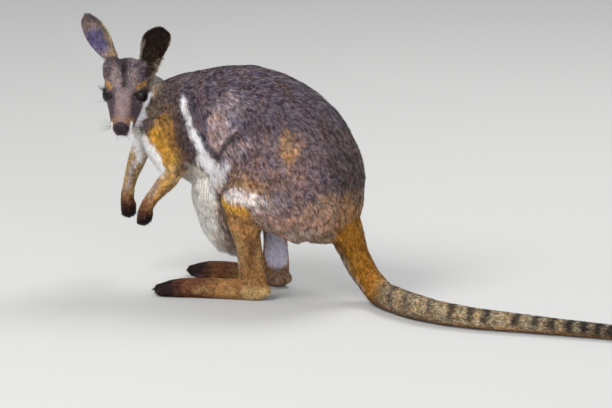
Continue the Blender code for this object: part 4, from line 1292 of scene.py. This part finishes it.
def add_eye(node):
    centre, gaze, long_axis, lid = eye_axes(node)
    points, faces = ball(49, 64)
    angle = np.arccos(np.clip(points[:, 0], -1, 1))
    cornea = 1 + 0.045 * fade(angle, 0.45, 1.0)
    shaped = points * (EYE_RADIUS * 0.97 * cornea)[:, None]
    head = centre + shaped @ np.array([gaze, long_axis, lid])
    piece = new_piece("eyeball_" + node[-1].lower(), from_head(head), faces)
    weld(piece)
    rays = unit(to_head(points_of(piece.data)) - centre)
    off_gaze = np.arccos(np.clip(rays @ gaze, -1, 1))
    pupil = fade(off_gaze, PUPIL - 0.05, PUPIL + 0.08)[:, None]
    edge = fade(-off_gaze, -IRIS_EDGE - 0.1, -IRIS_EDGE + 0.1)[:, None]
    iris = np.array((0.024, 0.011, 0.006)) * (1 - pupil) + np.array((0.003, 0.0025, 0.004)) * pupil
    iris = iris * (1 - edge) + np.array((0.010, 0.007, 0.006)) * edge
    tint_piece(piece, "iris", iris)
    piece.data.materials.append(EYE_WET)
    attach(piece, "root")
    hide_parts(node)


def bead(path, radii, sides):
    """A round bead along a path of points: points and quads, open at its ends."""
    path, radii = np.asarray(path, float), np.asarray(radii, float)
    ahead = unit(np.gradient(path, axis=0))
    helper = np.where(np.abs(ahead[:, 2:]) > 0.9, (1.0, 0, 0), (0, 0, 1.0))
    across = unit(np.cross(ahead, helper))
    over = np.cross(ahead, across)
    turn = np.arange(sides) * math.tau / sides
    rings = path[:, None] + radii[:, None, None] * (
        across[:, None] * np.cos(turn)[None, :, None] + over[:, None] * np.sin(turn)[None, :, None])
    outward = [0, 3, 2, 1]
    return rings.reshape(-1, 3), grid_quads(len(path), sides)[:, outward]


def join_shells(shells):
    """Several point and face arrays as one."""
    points, faces, start = [], [], 0
    for more_points, more_faces in shells:
        points.append(more_points)
        faces.append(more_faces + start)
        start += len(more_points)
    return np.concatenate(points), np.concatenate(faces)


def lid_edge(node, turn):
    """Points on the almond where the lids meet the eyeball, for angles round the gaze."""
    centre, gaze, long_axis, lid = eye_axes(node)
    c, s = np.cos(turn), np.sin(turn)
    up = np.where(s > 0, OPENING_UP, OPENING_DOWN)
    p = OPENING_LONG * OPEN[node] * np.sign(c) * np.abs(c) ** (2 / CORNER)
    q = up * OPEN[node] * s
    size = np.sqrt(p ** 2 + q ** 2)
    angle = 2 * np.arctan(size / 2)
    flat = (long_axis * (p / size)[:, None] + lid * (q / size)[:, None])
    return centre, gaze * np.cos(angle)[:, None] + flat * np.sin(angle)[:, None]


def stiff_hair(root, out, droop, length, steps, radii):
    """A tapering hair from a point of the head frame, straight at first, then drooping."""
    step = np.linspace(0, 1, steps)[:, None]
    path = root + out * length * step + droop * length * step ** 2
    return bead(from_head(path), np.linspace(*radii, steps) * 0.001, 4)


WET = {"Roughness": 0.25, "Specular IOR Level": 0.10, "Coat Weight": 0.4, "Coat Roughness": 0.02}
EYE_WET = finish("eye_wet", "iris", WET, 0.35, 1600.0)
LID_SKIN = finish("lid_skin", (0.014, 0.009, 0.008), {"Roughness": 0.5}, 0.3, 700.0, 0.4)
HAIR = finish("stiff_hair", (0.022, 0.015, 0.013), {"Roughness": 0.42}, 0.2, 700.0)


def add_lid_rims():
    shells = []
    for node in EYES:
        turn = np.linspace(0, math.tau, 97)
        centre, ray = lid_edge(node, turn)
        path = centre + ray * (EYE_RADIUS + 0.30)
        shells.append(bead(from_head(path), np.full(len(turn), 0.00052), 8))
    piece = new_piece("lid_rims", *join_shells(shells))
    weld(piece)
    piece.data.materials.append(LID_SKIN)
    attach(piece, "root")


def add_lashes():
    chance = np.random.default_rng(41)
    shells = []
    for node in EYES:
        turn = np.radians(np.linspace(12, 168, 46)) + chance.normal(0, 0.02, 46)
        centre, ray = lid_edge(node, turn)
        gaze, lid = eye_axes(node)[1], eye_axes(node)[3]
        for direction in ray:
            length = chance.uniform(5.0, 8.5)
            root = centre + direction * (EYE_RADIUS + 0.9)
            out = unit(direction * 0.9 + gaze * 0.5 + lid * 0.35 + chance.normal(0, 0.10, 3))
            droop = (lid * 0.9 - gaze * 0.4) * 0.35
            shells.append(stiff_hair(root, out, droop, length, 5, (0.13, 0.03)))
    piece = new_piece("lashes", *join_shells(shells))
    piece.data.materials.append(HAIR)
    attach(piece, "root")


for eye in EYES:
    add_eye(eye)
add_lid_rims()
add_lashes()


# ------------------------ nose
# The nose pad is bare black skin, finely pebbled and moist, with a comma-shaped nostril each side
# and a groove down the middle to the lip.
NOSE_SIZE = (6.1, 9.3, 10.0)              # half sizes: forward, sideways, up
NOSTRIL = (5.0, 0.4)                      # sideways and up from the middle of the pad


def nose_finish():
    damp = {"Roughness": 0.55, "Specular IOR Level": 0.22, "Coat Weight": 0.08,
            "Coat Roughness": 0.3}
    material = finish("nose_skin", (0.018, 0.010, 0.014), damp, 0.35, 700.0)
    nodes, link = material.node_tree.nodes, material.node_tree.links.new
    place = nodes.new("ShaderNodeTexCoord")
    pebbles = nodes.new("ShaderNodeTexVoronoi")
    set_inputs(pebbles, {"Scale": 1500.0})
    link(place.outputs["Object"], pebbles.inputs["Vector"])
    add_relief(material, pebbles.outputs["Distance"], 0.55, 0.0003, invert=True)
    return material


def add_nose():
    points, faces = ball(97, 128)
    front, left, up = points.T
    width = 1 - 0.30 * np.clip(-up, 0, 1) ** 1.5 + 0.05 * np.clip(up, 0, 1)
    shape = np.stack([
        np.sign(front) * np.abs(front) ** 0.85,
        left * width,
        up * (1 - 0.10 * left ** 2)], axis=1) * NOSE_SIZE

    def dent(x, y, wide, high, edge=1.0):
        return np.exp(-((x / wide) ** 2 + (y / high) ** 2) ** edge)

    for side in (1, -1):
        across = side * shape[:, 1] - NOSTRIL[0]
        above = shape[:, 2] - NOSTRIL[1]
        hole = dent(across, above + 0.15 * across, 1.55, 1.15, 1.4)
        slit = dent(across - 2.2, above - 0.9 - 0.35 * (across - 1.5), 1.9, 0.55)
        wing = dent(across - 0.2, above - 2.3, 2.6, 1.2)
        depth = 3.4 * hole + 1.7 * slit - 0.55 * wing
        ahead = fade(-front, -0.15, 0.1)
        shape -= unit(shape / np.square(NOSE_SIZE)) * (depth * ahead)[:, None]
    groove = np.exp(-(shape[:, 1] / 0.42) ** 2) * fade(shape[:, 2], 0.5, 3.5) * (front > 0)
    shape[:, 0] -= groove * 0.9
    head = np.array((NOSE_AHEAD - 0.4, 0, -NOSE_BELOW - 0.8)) + shape
    piece = new_piece("nose_pad", from_head(head), faces)
    weld(piece)
    piece.data.materials.append(nose_finish())
    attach(piece, "root")
    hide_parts("nose")


add_nose()


# ------------------------ whiskers
# Stiff hairs in rows on the upper lip, a few on the chin, over the eyes and on the cheeks. They
# are rooted on the skin, dark, thin and drooping.
WHISKER_SPOTS = [
    # head frame root on the left, how many, spread of the roots, length, direction
    ((47, 11.5, -14), 6, 2.6, 20, (0.10, 0.93, -0.25)),
    ((42, 13.5, -18), 6, 3.0, 26, (-0.20, 0.90, -0.35)),
    ((36, 15.0, -17), 4, 2.6, 22, (-0.40, 0.85, -0.22)),
    ((48, 6.0, -29), 4, 2.4, 10, (0.30, 0.40, -0.85)),
    ((2, 20.0, 17), 3, 1.6, 22, (0.20, 0.62, 0.75)),
    ((-4, 31.0, -20), 3, 2.0, 24, (-0.25, 0.85, -0.42)),
]


def add_whiskers():
    chance = np.random.default_rng(17)
    tree = tree_of(skin_points.tolist())
    shells = []
    for spot, count, spread, reach, aim in WHISKER_SPOTS:
        for side in (1, -1):
            for _ in range(count):
                guess = np.array(spot) * (1, side, 1) + chance.normal(0, spread * 0.5, 3)
                root = to_head(np.array(tree.find(from_head(guess))[0]))
                out = unit(np.array(aim) * (1, side, 1) + chance.normal(0, 0.13, 3))
                length = reach * chance.uniform(0.7, 1.15)
                droop = np.array((-0.30, 0.0, -0.16))
                shells.append(stiff_hair(root, out, droop, length, 9, (0.10, 0.02)))
    piece = new_piece("whiskers", *join_shells(shells))
    piece.data.materials.append(HAIR)
    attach(piece, "root")


add_whiskers()


# ------------------------ claws
# Dark horn, worn blunt, smooth and half hidden in the hair. Each is its solid's shape drawn in
# towards the root, with the facets rounded.
CLAW_SHOWN = {"hand": 0.62, "foot": 0.80}          # share of the solid's length
CLAW_ROOT = 0.0006                                 # depth of the end that stays in place, metres
CLAW_HORN = finish("claw_horn", (0.035, 0.026, 0.024), {"Roughness": 0.36}, 0.4, 700.0, 0.25)


def add_claw(name):
    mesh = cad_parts[name].data.copy()
    mesh.name = name + "_horn"
    points = points_of(mesh)
    limb = name.split("_")[1]
    inward = points[:, 2] if limb == "hand" else points[:, 0]
    root = points[inward > inward.max() - CLAW_ROOT].mean(axis=0)
    move_points(mesh, root + (points - root) * CLAW_SHOWN[limb])
    mesh.materials.clear()
    mesh.materials.append(CLAW_HORN)
    piece = add_object(name + "_horn", mesh)
    rounder = piece.modifiers.new("rounder", "SUBSURF")
    rounder.levels = rounder.render_levels = 2
    apply_modifiers(piece)
    shade_smooth(piece.data)
    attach(piece, "root")
    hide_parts(name)


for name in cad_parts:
    if name.startswith("claw"):
        add_claw(name)


# ------------------------ studio
# A plain pale floor and soft light: a broad key from the head's side, a fill from the tail's side
# and one from above and behind, in an even pale surround.
def add_floor():
    reach = 6.0
    corners = np.array([(-1, -1, 0), (1, -1, 0), (1, 1, 0), (-1, 1, 0)]) * reach
    piece = new_piece("floor", corners, np.array([[0, 1, 2, 3]]))
    material = bpy.data.materials.new("pale_floor")
    material.use_nodes = True
    set_inputs(material.node_tree.nodes["Principled BSDF"],
               {"Base Color": (0.42, 0.42, 0.415, 1.0), "Roughness": 0.85})
    piece.data.materials.append(material)


def add_softbox(name, where, aim, size, watts, colour):
    data = bpy.data.lights.new(name, "AREA")
    data.shape = "DISK"
    data.size = size
    data.energy = watts
    data.color = colour
    lamp = add_object(name, data)
    lamp.location = where
    lamp.rotation_euler = (Vector(where) - Vector(aim)).to_track_quat("Z", "Y").to_euler()


add_floor()
middle = (-0.15, 0.0, 0.2)
add_softbox("key", (-1.3, -2.0, 2.6), middle, 1.8, 95, (1.0, 0.98, 0.95))
add_softbox("fill", (1.2, -2.4, 1.0), middle, 1.6, 38, (0.95, 0.97, 1.0))
add_softbox("top", (0.3, 1.4, 2.4), middle, 1.4, 45, (1.0, 0.99, 0.97))
world = bpy.data.worlds.new("surround")
world.use_nodes = True
set_inputs(world.node_tree.nodes["Background"],
           {"Color": (0.86, 0.88, 0.90, 1.0), "Strength": 0.75})
scene.world = world
scene.view_settings.view_transform = "Standard"
